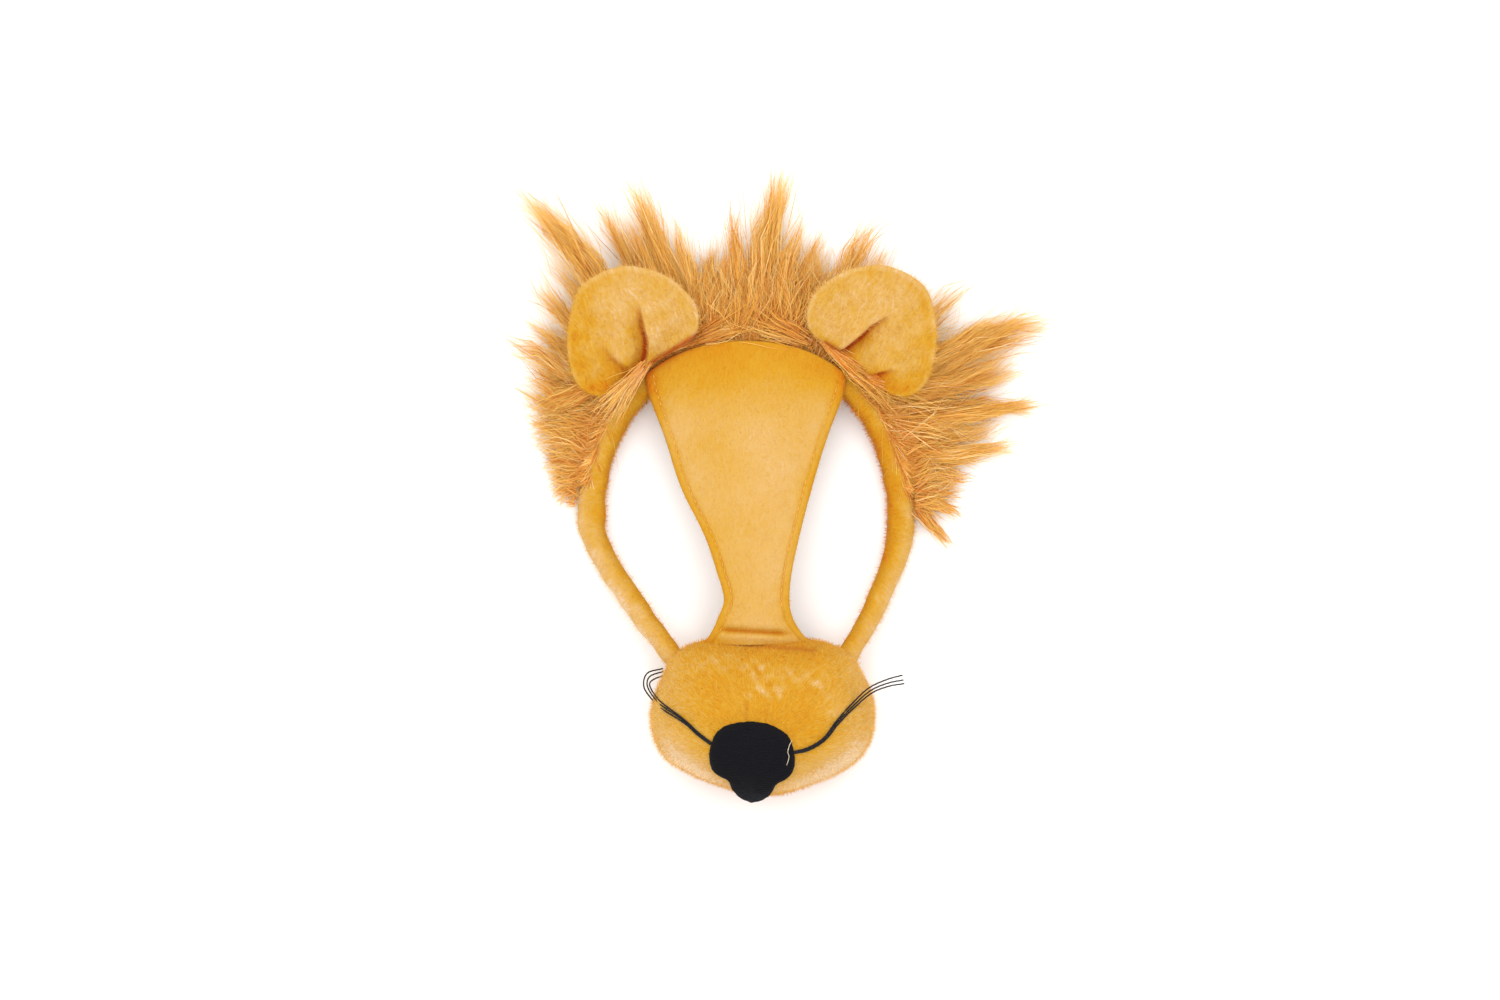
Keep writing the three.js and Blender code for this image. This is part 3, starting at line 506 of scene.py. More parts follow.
def muzzlePoint(turnDegrees, rise, grow=0.0):
    turn = np.radians(turnDegrees)
    reach = muzzleReach(turn, readTable(muzzleLevels, rise)) + grow
    drop = readTable(muzzleLevels, rise, 2) * muzzle["height"]
    up = -muzzle["below"] - drop + np.sin(turn) * reach * muzzleSquash
    return stack(muzzle["aside"] + np.cos(turn) * reach, up, rise * (muzzle["depth"] + grow))


def insideMuzzle(points, grow=0.0):
    rise = points[..., 2] / (muzzle["depth"] + grow)
    drop = readTable(muzzleLevels, rise, 2) * muzzle["height"]
    x, y = points[..., 0] - muzzle["aside"], (points[..., 1] + muzzle["below"] + drop) / muzzleSquash
    reach = muzzleReach(np.arctan2(y, x), readTable(muzzleLevels, rise)) + grow
    return (np.hypot(x, y) < reach) & (rise < 1)


def strapRoute(strap, t):  # the middle of a strap and its way, from the headband's end
    start = archPoint(0.0 if strap["side"] < 0 else 1.0)
    start = start + np.array([0, -arch["seamGap"], arch["endDepth"] / 2])
    seat = np.array([muzzle["aside"] + strap["side"] * arch["seatSide"] * strap["seat"],
                     -muzzle["below"] + arch["seatUp"], arch["seatHeight"]])
    run = np.linalg.norm(start - seat)
    inwards = unit(np.array([muzzle["aside"] - seat[0], -muzzle["below"] - seat[1], 0]))
    bends = [start, start + [0, -strap["leaveDown"] * run, 0],
             seat + np.array([strap["side"] * strap["comeOut"], strap["comeUp"], -0.12]) * run,
             seat + inwards * arch["tuck"]]
    t = np.asarray(t, float)[..., None]
    place = ((1 - t)**3 * bends[0] + 3 * (1 - t)**2 * t * bends[1]
             + 3 * (1 - t) * t**2 * bends[2] + t**3 * bends[3])
    way = 3 * ((1 - t)**2 * (bends[1] - bends[0]) + 2 * (1 - t) * t * (bends[2] - bends[1])
               + t**2 * (bends[3] - bends[2]))
    return place, unit(way)


def archSection(middle, way, turn, width, depth, power, pressed):
    out = unit(stack(-way[..., 1], way[..., 0], 0))
    over = np.cross(way, out)
    across = signedPower(np.cos(turn), power)
    rise = (signedPower(np.sin(turn), power) + 1) / 2
    height = np.maximum(rise - pressed, 0) / (1 - pressed) - 0.5
    place = middle + out * (across * width / 2)[..., None] + over * (height * depth)[..., None]
    return place, across + 0 * place[..., 0], height + 0 * place[..., 0]


def strapPart(strap, t, turn):
    middle, way = strapRoute(strap, t)
    size = 1 + (arch["taper"] - 1) * t
    power = 2 / 3 + (1 / 3) * smoothStep(0, 0.25, t)
    return archSection(middle, way * (1 if strap["side"] > 0 else -1), turn, arch["pad"] * size,
                       arch["endDepth"] * size, power, arch["pressed"] * (1 - smoothStep(0, 0.2, t)))


def makeArch():
    turn = np.arange(arch["sides"]) / arch["sides"] * 2 * math.pi - math.pi / 2
    parts = []
    for strap in straps.values():
        tries = np.linspace(0, 1, 160)[:, None] + 0 * turn
        hit = insideMuzzle(strapPart(strap, tries, turn[None, :])[0], -arch["sunk"])
        reach = np.where(hit.any(axis=0), tries[np.argmax(hit, axis=0), 0], 1.0)
        t = np.linspace(0, 1, arch["strapStations"])[:, None] * reach
        parts.append([*strapPart(strap, t, turn[None, :]), smoothStep(0, 0.5, t)])
    along = np.linspace(0, 1, arch["stations"])[1:-1, None] + 0 * turn
    middle, way, _ = archAt(along)
    front = bandFront(along)
    middle = middle + stack(0, 0, front / 2)
    band = [*archSection(middle, way, turn[None, :], arch["pad"] + 0 * front, front, 2 / 3, arch["pressed"]),
            0 * along]
    left = [numbers[::-1] for numbers in parts[0]]
    grid, across, height, free = (np.concatenate(three) for three in zip(left, band, parts[1]))
    out = ringNormals(grid)
    out[:, 0] = out[:, -1]
    middles = grid.mean(axis=1, keepdims=True)
    out *= np.sign(np.einsum("ijk,ijk->ij", out, grid - middles))[..., None]
    lumps = softNoise(grid * [1, 1, 0.6], arch["lumpSize"], 5) * arch["lump"]
    lumps = lumps * smoothStep(-0.5, -0.3, height)
    grid = grid + out * lumps[..., None]
    grid[..., 2] = np.maximum(grid[..., 2], floorGap)
    # Painted light and shade: lighter on the outer side and darker on the inner, lighter on top, lighter on
    # the hanging straps and towards the left; the noise is the cloth's own mottling.
    glow = arch["glow"] + 0.26 * across + 0.1 * height + 0.06 * softNoise(grid, 9, 8)
    glow += free * (0.16 + 0.06 * across) + 0.14 * smoothStep(0, -70, grid[..., 0]) - 0.1
    # A painted shadow along the band under the left ear's flap.
    gap = segmentDistance(grid[..., :2], *arch["earGapShadow"]) / arch["earGapShadowWidth"]
    lay = stack(lengthAlong(middles, 0), lengthAlong(grid, 1), 0)
    return lathe("padded_arch", grid, archPlush, {
        "glow": glow, "shadedCrease": bell(gap, 1) * 0.9, "lay": lay, "hairy": 1 + 0 * glow})


print("padded arch")
paddedArch = makeArch()
finishPiece(paddedArch, "plush", "headband", "cheek_strap_left", "cheek_strap_right", fill=0.7)
growPile(paddedArch, density=0.55, length=1.9, lean=0.7, laySize=16, thickness=0.22, seed=11)


# Forehead panel

panelRows = [  # down, top, neck, foot, forward, bow, aside
    (0, 1, 0, 0, 0, 0.16, 0), (0.05, 1, 0, 0, 0.03, 0.2, 0), (0.11, 0.97, 0.03, 0, 0.14, 0.42, 0),
    (0.18, 0.9, 0.1, 0, 0.36, 0.75, 0), (0.32, 0.71, 0.29, 0, 0.68, 1, 0),
    (0.48, 0.49, 0.51, 0, 0.86, 0.85, 0.03), (0.64, 0.22, 0.78, 0, 0.96, 0.55, 0.36),
    (0.76, 0.07, 0.93, 0, 1, 0.38, 0.5), (0.85, 0, 1, 0, 1, 0.34, 0.64),
    (0.91, 0, 0.8, 0.2, 0.96, 0.42, 0.56), (0.96, 0, 0.45, 0.55, 0.9, 0.6, 0.62),
    (1, 0, 0, 1, 0.86, 0.85, 0.7)]
panel = {"thickness": 3.2, "topHalf": 45, "neckHalf": 14.7, "footHalf": 25, "lap": 4.5, "bulge": 13.5,
         "bow": 8, "footShare": 0.44, "sunk": 1.2, "seamInset": 3.6, "seamDip": 0.45, "seamWidth": 0.55,
         "roll": 1.1, "rows": 170, "columns": 64, "crowding": 1.35, "glow": 0.75,
         "stitch": 2.5, "stitchPitch": 3.1, "stitchGirth": 0.42, "foldUp": -125.2, "foldFrom": -10,
         # The last entry marks where a painted shadow lies on the panel's corner under the left ear.
         "foldTo": 17, "earShadow": [(-44.5, -8.5), (-22, 4.8)]}


def panelPoint(down, column, height=0.0):  # on the panel's middle layer, moved forward by a height
    half = sum(readTable(panelRows, down, k + 1) * panel[size]
               for k, size in enumerate(("topHalf", "neckHalf", "footHalf")))
    middle = readTable(panelRows, down, 6) * muzzle["aside"]
    curve = np.maximum(1 - down / 0.4, 0) ** 2
    length = muzzle["below"] - muzzle["height"] * panel["footShare"] + panel["lap"]
    forward = (arch["depth"] + arch["seamGap"] + panel["thickness"] / 2
               + readTable(panelRows, down, 4) * panel["bulge"])
    up = panel["lap"] - down * length + curve * archHeight(column * panel["topHalf"])
    rise = forward - readTable(panelRows, down, 5) * panel["bow"] * column**2
    return stack(middle + column * half, up, rise + height), half


def makePanel():
    columns = crowded(panel["columns"], panel["crowding"])
    down = np.linspace(0, 1, panel["rows"])[:, None]
    near = np.linspace(0.85, 1, 60)
    tries, _ = panelPoint(near[:, None], columns[None, :])
    hit = insideMuzzle(tries, -panel["sunk"])
    end = np.where(hit.any(axis=0), near[np.argmax(hit, axis=0)], 1.0)
    down = down * end
    sheet, half = panelPoint(down, columns[None, :])
    edge = (1 - np.abs(columns)) * half
    roll = rolledEdge(edge, panel["roll"])
    seam = bell(edge - panel["seamInset"], panel["seamWidth"]) * smoothStep(0.03, 0.09, down)
    x, y = sheet[..., 0], sheet[..., 1]
    puff = panel["thickness"] / 2 * roll * (1 + 0.08 * bell(edge - 1.9, 1.2))
    puckers = softNoise(sheet * [1.2, 0.9, 1], 5.5, 22) * bell(edge - panel["seamInset"], 3.2) * 0.15
    soft = softNoise(sheet, 30, 21) * 0.4 + softNoise(sheet, 9, 23) * 0.12
    tilt = (x - panel["foldFrom"]) * -0.06
    within = smoothStep(panel["foldFrom"] - 4, panel["foldFrom"] + 3, x) * smoothStep(
        panel["foldTo"] + 5, panel["foldTo"] - 3, x)
    foldAt = y - panel["foldUp"] - tilt
    fold = (bell(foldAt, 1.1) * -1.1 + bell(foldAt - 3, 2.2) * 0.7 + bell(foldAt + 2.6, 1.6) * 0.8) * within
    # painted shade at the panel's foot, where it meets the muzzle
    toSeam = bell(foldAt + 5.5, 1.6)
    top = puff - seam * panel["seamDip"] + (soft + puckers + fold) * roll
    bottom = puff * 0.9 - seam * 0.5
    front = sheet + stack(0, 0, top)
    back = (sheet - stack(0, 0, bottom) + stack(0, 0, soft * roll))[:, ::-1]
    grid = np.concatenate([front, back[:, 1:-1]], axis=1)
    mottle = softNoise(sheet, 26, 25) * 0.04
    # Painted light and shade: darker along the rolled edges, at the top where the panel curves back, in the
    # seam's groove, in the fold and at the foot. It is also a little darker left of the middle, and mottle
    # is the cloth's own tone.
    glow = panel["glow"] + mottle - 0.3 * bell(edge, 4.2) - 0.42 * (1 - smoothStep(0.02, 0.3, down))
    glow = glow - 0.06 * bell(x + 12, 14) - 0.1 * seam - 0.35 * bell(foldAt, 1.5) * within - 0.2 * toSeam
    # Painted shade in the seam's groove, in the fold and along the corner under the left ear.
    shadedCrease = 0.12 * bell(edge - panel["seamInset"], 0.45) * smoothStep(0.05, 0.2, down)
    shadedCrease = shadedCrease + 0.6 * bell(foldAt, 0.8) * within
    shadedCrease = np.maximum(shadedCrease, 0.9 * bell(segmentDistance(sheet[..., :2], *panel["earShadow"]) / 2.4, 1))
    # The back is painted 0.1 darker, as shade.
    glow = np.concatenate([glow, glow[:, ::-1][:, 1:-1] - 0.1], axis=1)
    shadedCrease = np.concatenate([shadedCrease, 0 * shadedCrease[:, 1:-1]], axis=1)
    return lathe("forehead_panel_plush", grid, panelPlush, {
        "glow": glow, "shadedCrease": shadedCrease, "lay": grid * [1, 1, 0], "hairy": 1 + 0 * glow})


def makeStitchTree():
    tree, given, end = newTree("sew stitches", {
        "Stitch": ("Float", 0.0025), "Pitch": ("Float", 0.003), "Girth": ("Float", 0.0004),
        "Material": ("Material", None)})
    line = add(tree, "GeometryNodeMeshToCurve", {"Mesh": given["Geometry"]}).outputs[0]
    spots = add(tree, "GeometryNodeCurveToPoints", {"Curve": line, "Length": given["Pitch"]}, mode="LENGTH")
    bead = add(tree, "GeometryNodeMeshUVSphere", {"Segments": 6, "Rings": 4, "Radius": 0.5}).outputs[0]
    turn = add(tree, "FunctionNodeAlignRotationToVector", {"Vector": spots.outputs["Tangent"]}, axis="X")
    size = combine(tree, given["Stitch"], given["Girth"], given["Girth"])
    sewn = add(tree, "GeometryNodeInstanceOnPoints",
               {"Points": spots.outputs[0], "Instance": bead, "Rotation": turn.outputs[0], "Scale": size})
    return endTree(tree, realized(tree, sewn.outputs[0]), given["Material"], end)


stitchTree = makeStitchTree()
stitchThread = makeThread("stitch thread", colour(212, 146, 52), colour(230, 172, 84), 0.7)


def sewStitches(name, lines, stitch, pitch, girth):
    mesh = bpy.data.meshes.new(name)
    points = np.concatenate(lines)
    starts = np.cumsum([0] + [len(line) for line in lines])
    edges = [(start + k, start + k + 1) for start, line in zip(starts, lines) for k in range(len(line) - 1)]
    mesh.from_pydata((points * mm).tolist(), edges, [])
    piece = newObject(name, mesh)
    runTree(piece, stitchTree, {"Stitch": stitch * mm, "Pitch": pitch * mm, "Girth": girth * mm,
                                "Material": stitchThread})
    return finishPiece(piece, "plush")


print("forehead panel")
foreheadPanel = makePanel()
finishPiece(foreheadPanel, "plush", "forehead_panel", fill=0.5)
growPile(foreheadPanel, density=0.55, length=1.3, lean=0.9, laySize=30, seed=12)
seamDown = np.linspace(0.05, 0.95, 90)
seamHalf = panelPoint(seamDown, 0 * seamDown)[1]
seamLines = [panelPoint(seamDown, side * (1 - panel["seamInset"] / seamHalf),
                        panel["thickness"] / 2 - panel["seamDip"] + 0.3)[0] for side in (-1, 1)]
sewStitches("panel_stitches", seamLines, panel["stitch"], panel["stitchPitch"], panel["stitchGirth"])


# Muzzle: a hollow cup with a rim raised over the wearer's nose

def rimRise(turn, grow):  # where the muzzle's wall leaves the cut-out over the wearer's nose
    rises = np.linspace(0, 0.9, 400)[:, None]
    points = muzzlePoint(turn[None, :], rises, grow)
    side = points[..., 0] - muzzle["aside"]
    up = points[..., 1] + muzzle["below"] - muzzle["height"] * muzzle["archUp"]
    spread = np.sqrt((side / (muzzle["archWidth"] / 2)) ** 2 + (up / (muzzle["archLength"] / 2)) ** 2
                     + (points[..., 2] / muzzle["archHeight"]) ** 2)
    return rises[np.argmax(spread > 1, axis=0), 0]


muzzleStreaks = [  # start, end, how wide and how pale: brushed nap, its paleness a painted sheen highlight
    ((-19, -139), (3, -142), 4, 0.24), ((6, -143.4), (31, -147.6), 3.6, 0.32),
    ((3, -151.6), (15, -153.2), 3.4, 0.36), ((33, -151), (41, -165), 3, 0.2)]


def muzzleGroove(points):  # the short seam above the nose
    return bell(points[..., 0] - 0.4, 0.75) * smoothStep(-174, -168, points[..., 1]) * smoothStep(
        -154.5, -158, points[..., 1]) * (points[..., 2] > 40)


def makeMuzzle():
    turn = np.arange(muzzle["columns"]) / muzzle["columns"] * 360
    lip = muzzle["lip"] / muzzle["depth"]
    lowOut, lowIn = (np.maximum(rimRise(turn, grow), 0) + lip for grow in (0.0, -muzzle["wall"]))
    share = np.linspace(0, 1, muzzle["outsideRows"])[:, None]
    share = share * 0.6 + 0.4 * (1 - (1 - share) ** 2.2)
    outside = muzzlePoint(turn[None, :], lowOut + (1 - lowOut) * share)
    within = np.linspace(1, 0, muzzle["insideRows"])[:, None]
    inside = muzzlePoint(turn[None, :], lowIn + (1 - lowIn) * (1 - (1 - within) ** 1.6), -muzzle["wall"])
    across = outside[0] - inside[-1]
    rolled = np.radians([150, 120, 90, 60, 30])[:, None]
    rim = ((inside[-1] + outside[0]) / 2 + across / 2 * np.cos(rolled)[..., None]
           - np.array([0, 0, muzzle["lip"]]) * np.sin(rolled)[..., None])
    grid = np.concatenate([inside, rim, outside])
    tip = outside[-1].mean(axis=0)
    caps = [tip + (outside[-1] - tip) * s for s in (0.66, 0.33)]
    bottom = inside[0].mean(axis=0)
    grid = np.concatenate([[bottom + (inside[0] - bottom) * s for s in (0.33, 0.66)], grid, caps])
    out = ringNormals(grid)
    out[:, 0] = (out[:, 1] + out[:, -1]) / 2
    heart = np.array([muzzle["aside"], -muzzle["below"], 20.0])
    rows = np.arange(len(grid))[:, None]
    outer = rows >= muzzle["insideRows"] + len(rolled)
    if np.einsum("ijk,ijk->ij", out, grid - heart)[outer[:, 0]].mean() < 0:
        out = -out
    groove = muzzleGroove(grid) * outer
    soft = softNoise(grid, 26, 31) * 0.35 + softNoise(grid * [1.5, 0.8, 1], 7, 32) * 0.12
    grid = grid + out * ((soft * outer) - groove * 0.5)[..., None]
    grid[..., 2] = np.maximum(grid[..., 2], floorGap)
    x, y, z = grid[..., 0] - muzzle["aside"], grid[..., 1] + muzzle["below"], grid[..., 2]
    # Painted light and shade: sheen lighter at the sides and towards the bottom, though darker in the lower
    # middle, and darker low down near the floor.
    below = smoothStep(-2, -30, y) * smoothStep(66, 42, z) * (1 - 0.9 * smoothStep(56, 22, z))
    glow = muzzle["glow"] + 0.3 * smoothStep(20, 48, np.abs(x)) + 0.6 * below
    glow = glow - 0.25 * smoothStep(22, 8, z)
    low = smoothStep(16, 44, z)
    glow = glow + 0.26 * smoothStep(-6, -30, y) * low - 0.3 * bell(x + 3, 20) * smoothStep(-20, -30, y) * low
    # Pale streaks where the nap is brushed: the brushing is real, their paleness a painted sheen highlight.
    cloudy = np.clip(0.6 + 0.7 * softNoise(grid, 6, 34), 0, 1.2) * (z > 40)
    for start, end, size, paleSheen in muzzleStreaks:
        glow = glow + paleSheen * cloudy * bell(segmentDistance(grid[..., :2], start, end) / size, 1)
    around = np.radians(turn)[None, :] * muzzle["around"] + 0 * glow
    run = lengthAlong(grid, 0)
    seam = segmentDistance(grid[..., :2], *muzzle["seam"]) / 1.1
    # Painted shade in the groove above the nose and along the seam under the panel.
    shadedCrease = 0.22 * groove + 0.4 * bell(seam, 1) * (z > 35)
    return lathe("muzzle_cup", grid, muzzlePlush, {
        "glow": glow, "shadedCrease": shadedCrease * outer, "lay": stack(around, run, 0), "hairy": outer + 0 * glow})


print("muzzle")
muzzleCup = makeMuzzle()
finishPiece(muzzleCup, "plush", "muzzle", fill=0.6)
growPile(muzzleCup, density=0.75, length=1.8, lean=1.2, laySize=9, thickness=0.22, seed=13)


# Nose: a knit pad with two side lobes and a long lower one

noseRows = [  # down, width
    (0, 0), (0.01, 0.32), (0.025, 0.5), (0.05, 0.66), (0.09, 0.81), (0.14, 0.91), (0.2, 0.97), (0.27, 1),
    (0.34, 0.99), (0.4, 0.94), (0.44, 0.86), (0.472, 0.74), (0.492, 0.61), (0.52, 0.55), (0.64, 0.47),
    (0.75, 0.37), (0.84, 0.275), (0.91, 0.19), (0.96, 0.115), (0.99, 0.055), (1, 0)]
nose = {"width": 38, "height": 49, "pad": 3.4, "tilt": 38, "raise": 16.5, "below": 22.8, "aside": -4.7,
        "rib": 1.15, "ribHeight": 0.3, "wale": 0.85, "roll": 3.4, "gap": 0.3, "over": 30, "sunk": 12,
        "rows": 260, "columns": 50, "crowding": 1.5}
noseTurn = math.radians(nose["tilt"])
noseUp = np.array([0, math.cos(noseTurn), math.sin(noseTurn)])
noseFacing = np.array([0, -math.sin(noseTurn), math.cos(noseTurn)])
noseMiddle = np.array([muzzle["aside"] + nose["aside"], -muzzle["below"] - nose["below"],
                       muzzle["depth"] * 0.96])


def facesOf(piece):  # its faces, to be met by a line
    mesh = piece.data
    return BVHTree.FromPolygons([v.co for v in mesh.vertices], [p.vertices for p in mesh.polygons])


muzzleFaces = facesOf(muzzleCup)


def onMuzzle(side, up):  # the muzzle's outside behind a place on the nose pad
    starts = noseMiddle + side[:, None] * [1, 0, 0] + up[:, None] * noseUp + noseFacing * nose["over"]
    found = []
    for start in starts:
        spot = muzzleFaces.ray_cast(Vector(start * mm), Vector(-noseFacing))[0]
        missed = start - noseFacing * (nose["over"] + nose["sunk"])
        found.append(np.array(spot) / mm if spot is not None else missed)
    return np.array(found)


def makeNose():
    share = np.linspace(0, 1, nose["rows"])
    down = 0.5 - 0.5 * np.cos(share * math.pi) * (1 - 0.25 * (1 - np.abs(2 * share - 1)))
    down = np.clip((down - down[0]) / (down[-1] - down[0]), 0.0006, 0.9994)
    half = np.interp(down, *np.array(noseRows).T) * nose["width"] / 2
    up = nose["raise"] - down * nose["height"]
    side = half[:, None] * crowded(nose["columns"], nose["crowding"])
    ups = up[:, None] + 0 * side
    spots = onMuzzle(side.ravel(), ups.ravel()).reshape(*side.shape, 3)
    out = normalsOf(smoothed(spots, 6))
    out *= np.sign(out @ noseFacing)[..., None]
    rim = np.concatenate([np.stack([half, up], 1), np.stack([-half, up], 1)[::-1]])
    flat = np.stack([side, ups], -1)
    edge = nearestEdge(flat.reshape(-1, 2), rim).reshape(side.shape)
    roll = rolledEdge(edge, nose["roll"])
    rib = np.abs(np.sin(math.pi * (ups + 0.5 * softNoise(spots, 30, 41)) / nose["rib"])) - 0.5
    wale = np.sin(2 * math.pi * side / nose["wale"]) * 0.3
    knit = nose["ribHeight"] * (rib + wale * 0.35) + 0.18 * softNoise(spots, 12, 42)
    height = nose["gap"] + nose["pad"] * roll + roll * knit
    front = spots + out * height[..., None]
    back = spots + out * (0.15 * roll[..., None])
    rows, columns = side.shape
    count = rows * columns
    faces = gridFaces(rows, columns, False)
    index = np.arange(count).reshape(rows, columns)
    rimLoop = np.concatenate([index[0], index[1:, -1], index[-1, -2::-1], index[-2:0:-1, 0]])
    under = [[a + count, d + count, c + count, b + count] for a, b, c, d in faces]
    sides = [[int(a), int(a) + count, int(b) + count, int(b)] for a, b in zip(rimLoop, np.roll(rimLoop, -1))]
    return makePiece("nose_pad", np.concatenate([front.reshape(-1, 3), back.reshape(-1, 3)]),
                     faces + under + sides, noseKnit)


def smoothed(grid, times):
    for _ in range(times):
        padded = np.pad(grid, ((1, 1), (1, 1), (0, 0)), mode="edge")
        grid = (padded[:-2, 1:-1] + padded[2:, 1:-1] + padded[1:-1, :-2] + padded[1:-1, 2:]) / 4
    return grid


def nearestEdge(points, loop):  # distance from points to a closed outline
    best = np.full(len(points), 1e9)
    for a, b in zip(loop, np.roll(loop, -1, axis=0)):
        way = b - a
        along = np.clip((points - a) @ way / max(way @ way, 1e-12), 0, 1)
        best = np.minimum(best, np.linalg.norm(points - a - along[:, None] * way, axis=1))
    return best


print("nose")
nosePad = makeNose()
finishPiece(nosePad, "nose_knit", "nose", fill=0.6)


# Whiskers and the loose thread at the nose

whiskers = {
    "left": {"over": [(-15.6, -175.8), (-21.4, -171.6), (-26.2, -167.2), (-30.4, -163.9), (-35.5, -160.7),
                      (-40.5, -156.6)],
             "free": [(-44.3, -150.7, 30), (-43.2, -146.2, 20), (-37, -144.2, 10)], "fan": [1.3, 2, 1.6]},
    "right": {"over": [(20.2, -180), (27.9, -178.2), (35.1, -173.7), (40.5, -167), (47.2, -159.8)],
              "free": [(55.6, -152.4, 42.5), (63.5, -149, 42), (70.5, -147.4, 41.5)],
              "fan": [1.2, 1.6, 1.8]},
    "thread": 0.74, "spacing": 1.0, "gather": 0.45, "fanUp": 0.4, "wander": 0.12, "lift": 0.9,
    "taper": 0.12, "sides": 8, "steps": 150,
}


def smoothCurve(points, steps):  # through all the points
    points = np.array(points, float)
    at = np.concatenate([[0], np.cumsum(np.linalg.norm(np.diff(points, axis=0), axis=1) ** 0.5)])
    fine = np.linspace(0, at[-1], steps)
    return np.stack([readTable(np.stack([at, points[:, k]], 1), fine) for k in range(3)], 1)


def tubes(name, lines, girth, sides, material, taper=0.25, ply=0.12):
    points, faces = [], []
    for line in lines:
        way = unit(np.gradient(line, axis=0))
        across = unit(np.cross(way, [0.3, 0.1, 1.0]))
        over = np.cross(across, way)
        share = np.linspace(0, 1, len(line))[:, None]
        turn = np.arange(sides) / sides * 2 * math.pi
        length = np.linalg.norm(np.diff(line, axis=0), axis=1).sum()
        plies = 1 + ply * np.cos(3 * turn[None, :] + share * length * 2.2)
        size = girth / 2 * (1 - taper * share) * plies
        ring = (line[:, None] + across[:, None] * (np.cos(turn) * size)[..., None]
                + over[:, None] * (np.sin(turn) * size)[..., None])
        base = sum(len(part) for part in points)
        ends = gridFaces(len(line), sides, True)
        tied, more, _ = closeEnds(ring.reshape(-1, 3), ends, sides, {})
        points.append(tied)
        faces += [[corner + base for corner in face] for face in more]
    return makePiece(name, np.concatenate(points), faces, material)


def topOf(faces, x, y, clear):  # just over a piece's face, as seen from the front
    over, crest = 0.2, 0.07  # metres up: clear of the mask, and about at its top
    spot = (faces.ray_cast(Vector((x * mm, y * mm, over)), Vector((0, 0, -1)))[0]
            or faces.find_nearest(Vector((x * mm, y * mm, crest)))[0])
    return np.array([x, y, spot.z / mm + clear])


def makeWhiskers(name):
    route = whiskers[name]
    clear = whiskers["lift"] + whiskers["thread"] / 2
    rng = np.random.default_rng(43)
    flat = np.array(route["over"] + [stop[:2] for stop in route["free"]])
    held = len(route["over"])
    way = unit(np.gradient(flat, axis=0))
    aside = np.stack([-way[:, 1], way[:, 0]], 1)
    lines = []
    for number in (-1, 0, 1):
        wander = rng.uniform(-1, 1, len(flat)) * whiskers["wander"]
        gather = np.clip(np.arange(len(flat)) / 4, whiskers["gather"], 1)  # held together at the nose
        move = aside * (number * whiskers["spacing"] * gather + wander)[:, None]
        points = [topOf(muzzleFaces, *spot, clear) for spot in flat[:held] + move[:held]]
        for k, stop in enumerate(route["free"]):
            spread = move[held + k] * route["fan"][k]
            points.append(np.array(stop) + [*spread, whiskers["fanUp"] * number])
        lines.append(smoothCurve(points, whiskers["steps"]))
    return tubes("whiskers_" + name + "_threads", lines, whiskers["thread"], whiskers["sides"],
                 whiskerThread, whiskers["taper"])


print("whiskers")
for name in ("left", "right"):
    finishPiece(makeWhiskers(name), "whisker_thread", "whiskers_" + name)

loose = {"route": [(20.4, -174.4, 0), (19.2, -177.1, 0), (18.7, -179.6, 0), (19.2, -181.8, 0),
                   (18.2, -185.4, 0)], "clear": 0.3, "girth": 0.32, "sides": 6, "steps": 60}
noseFaces = facesOf(nosePad)
looseRoute = smoothCurve(loose["route"], loose["steps"])
looseLine = np.array([topOf(noseFaces, x, y, loose["clear"]) for x, y, _ in looseRoute])
looseThread = tubes("loose_thread", [looseLine], loose["girth"], loose["sides"], paleThread)
finishPiece(looseThread, "whisker_thread")


# Ears

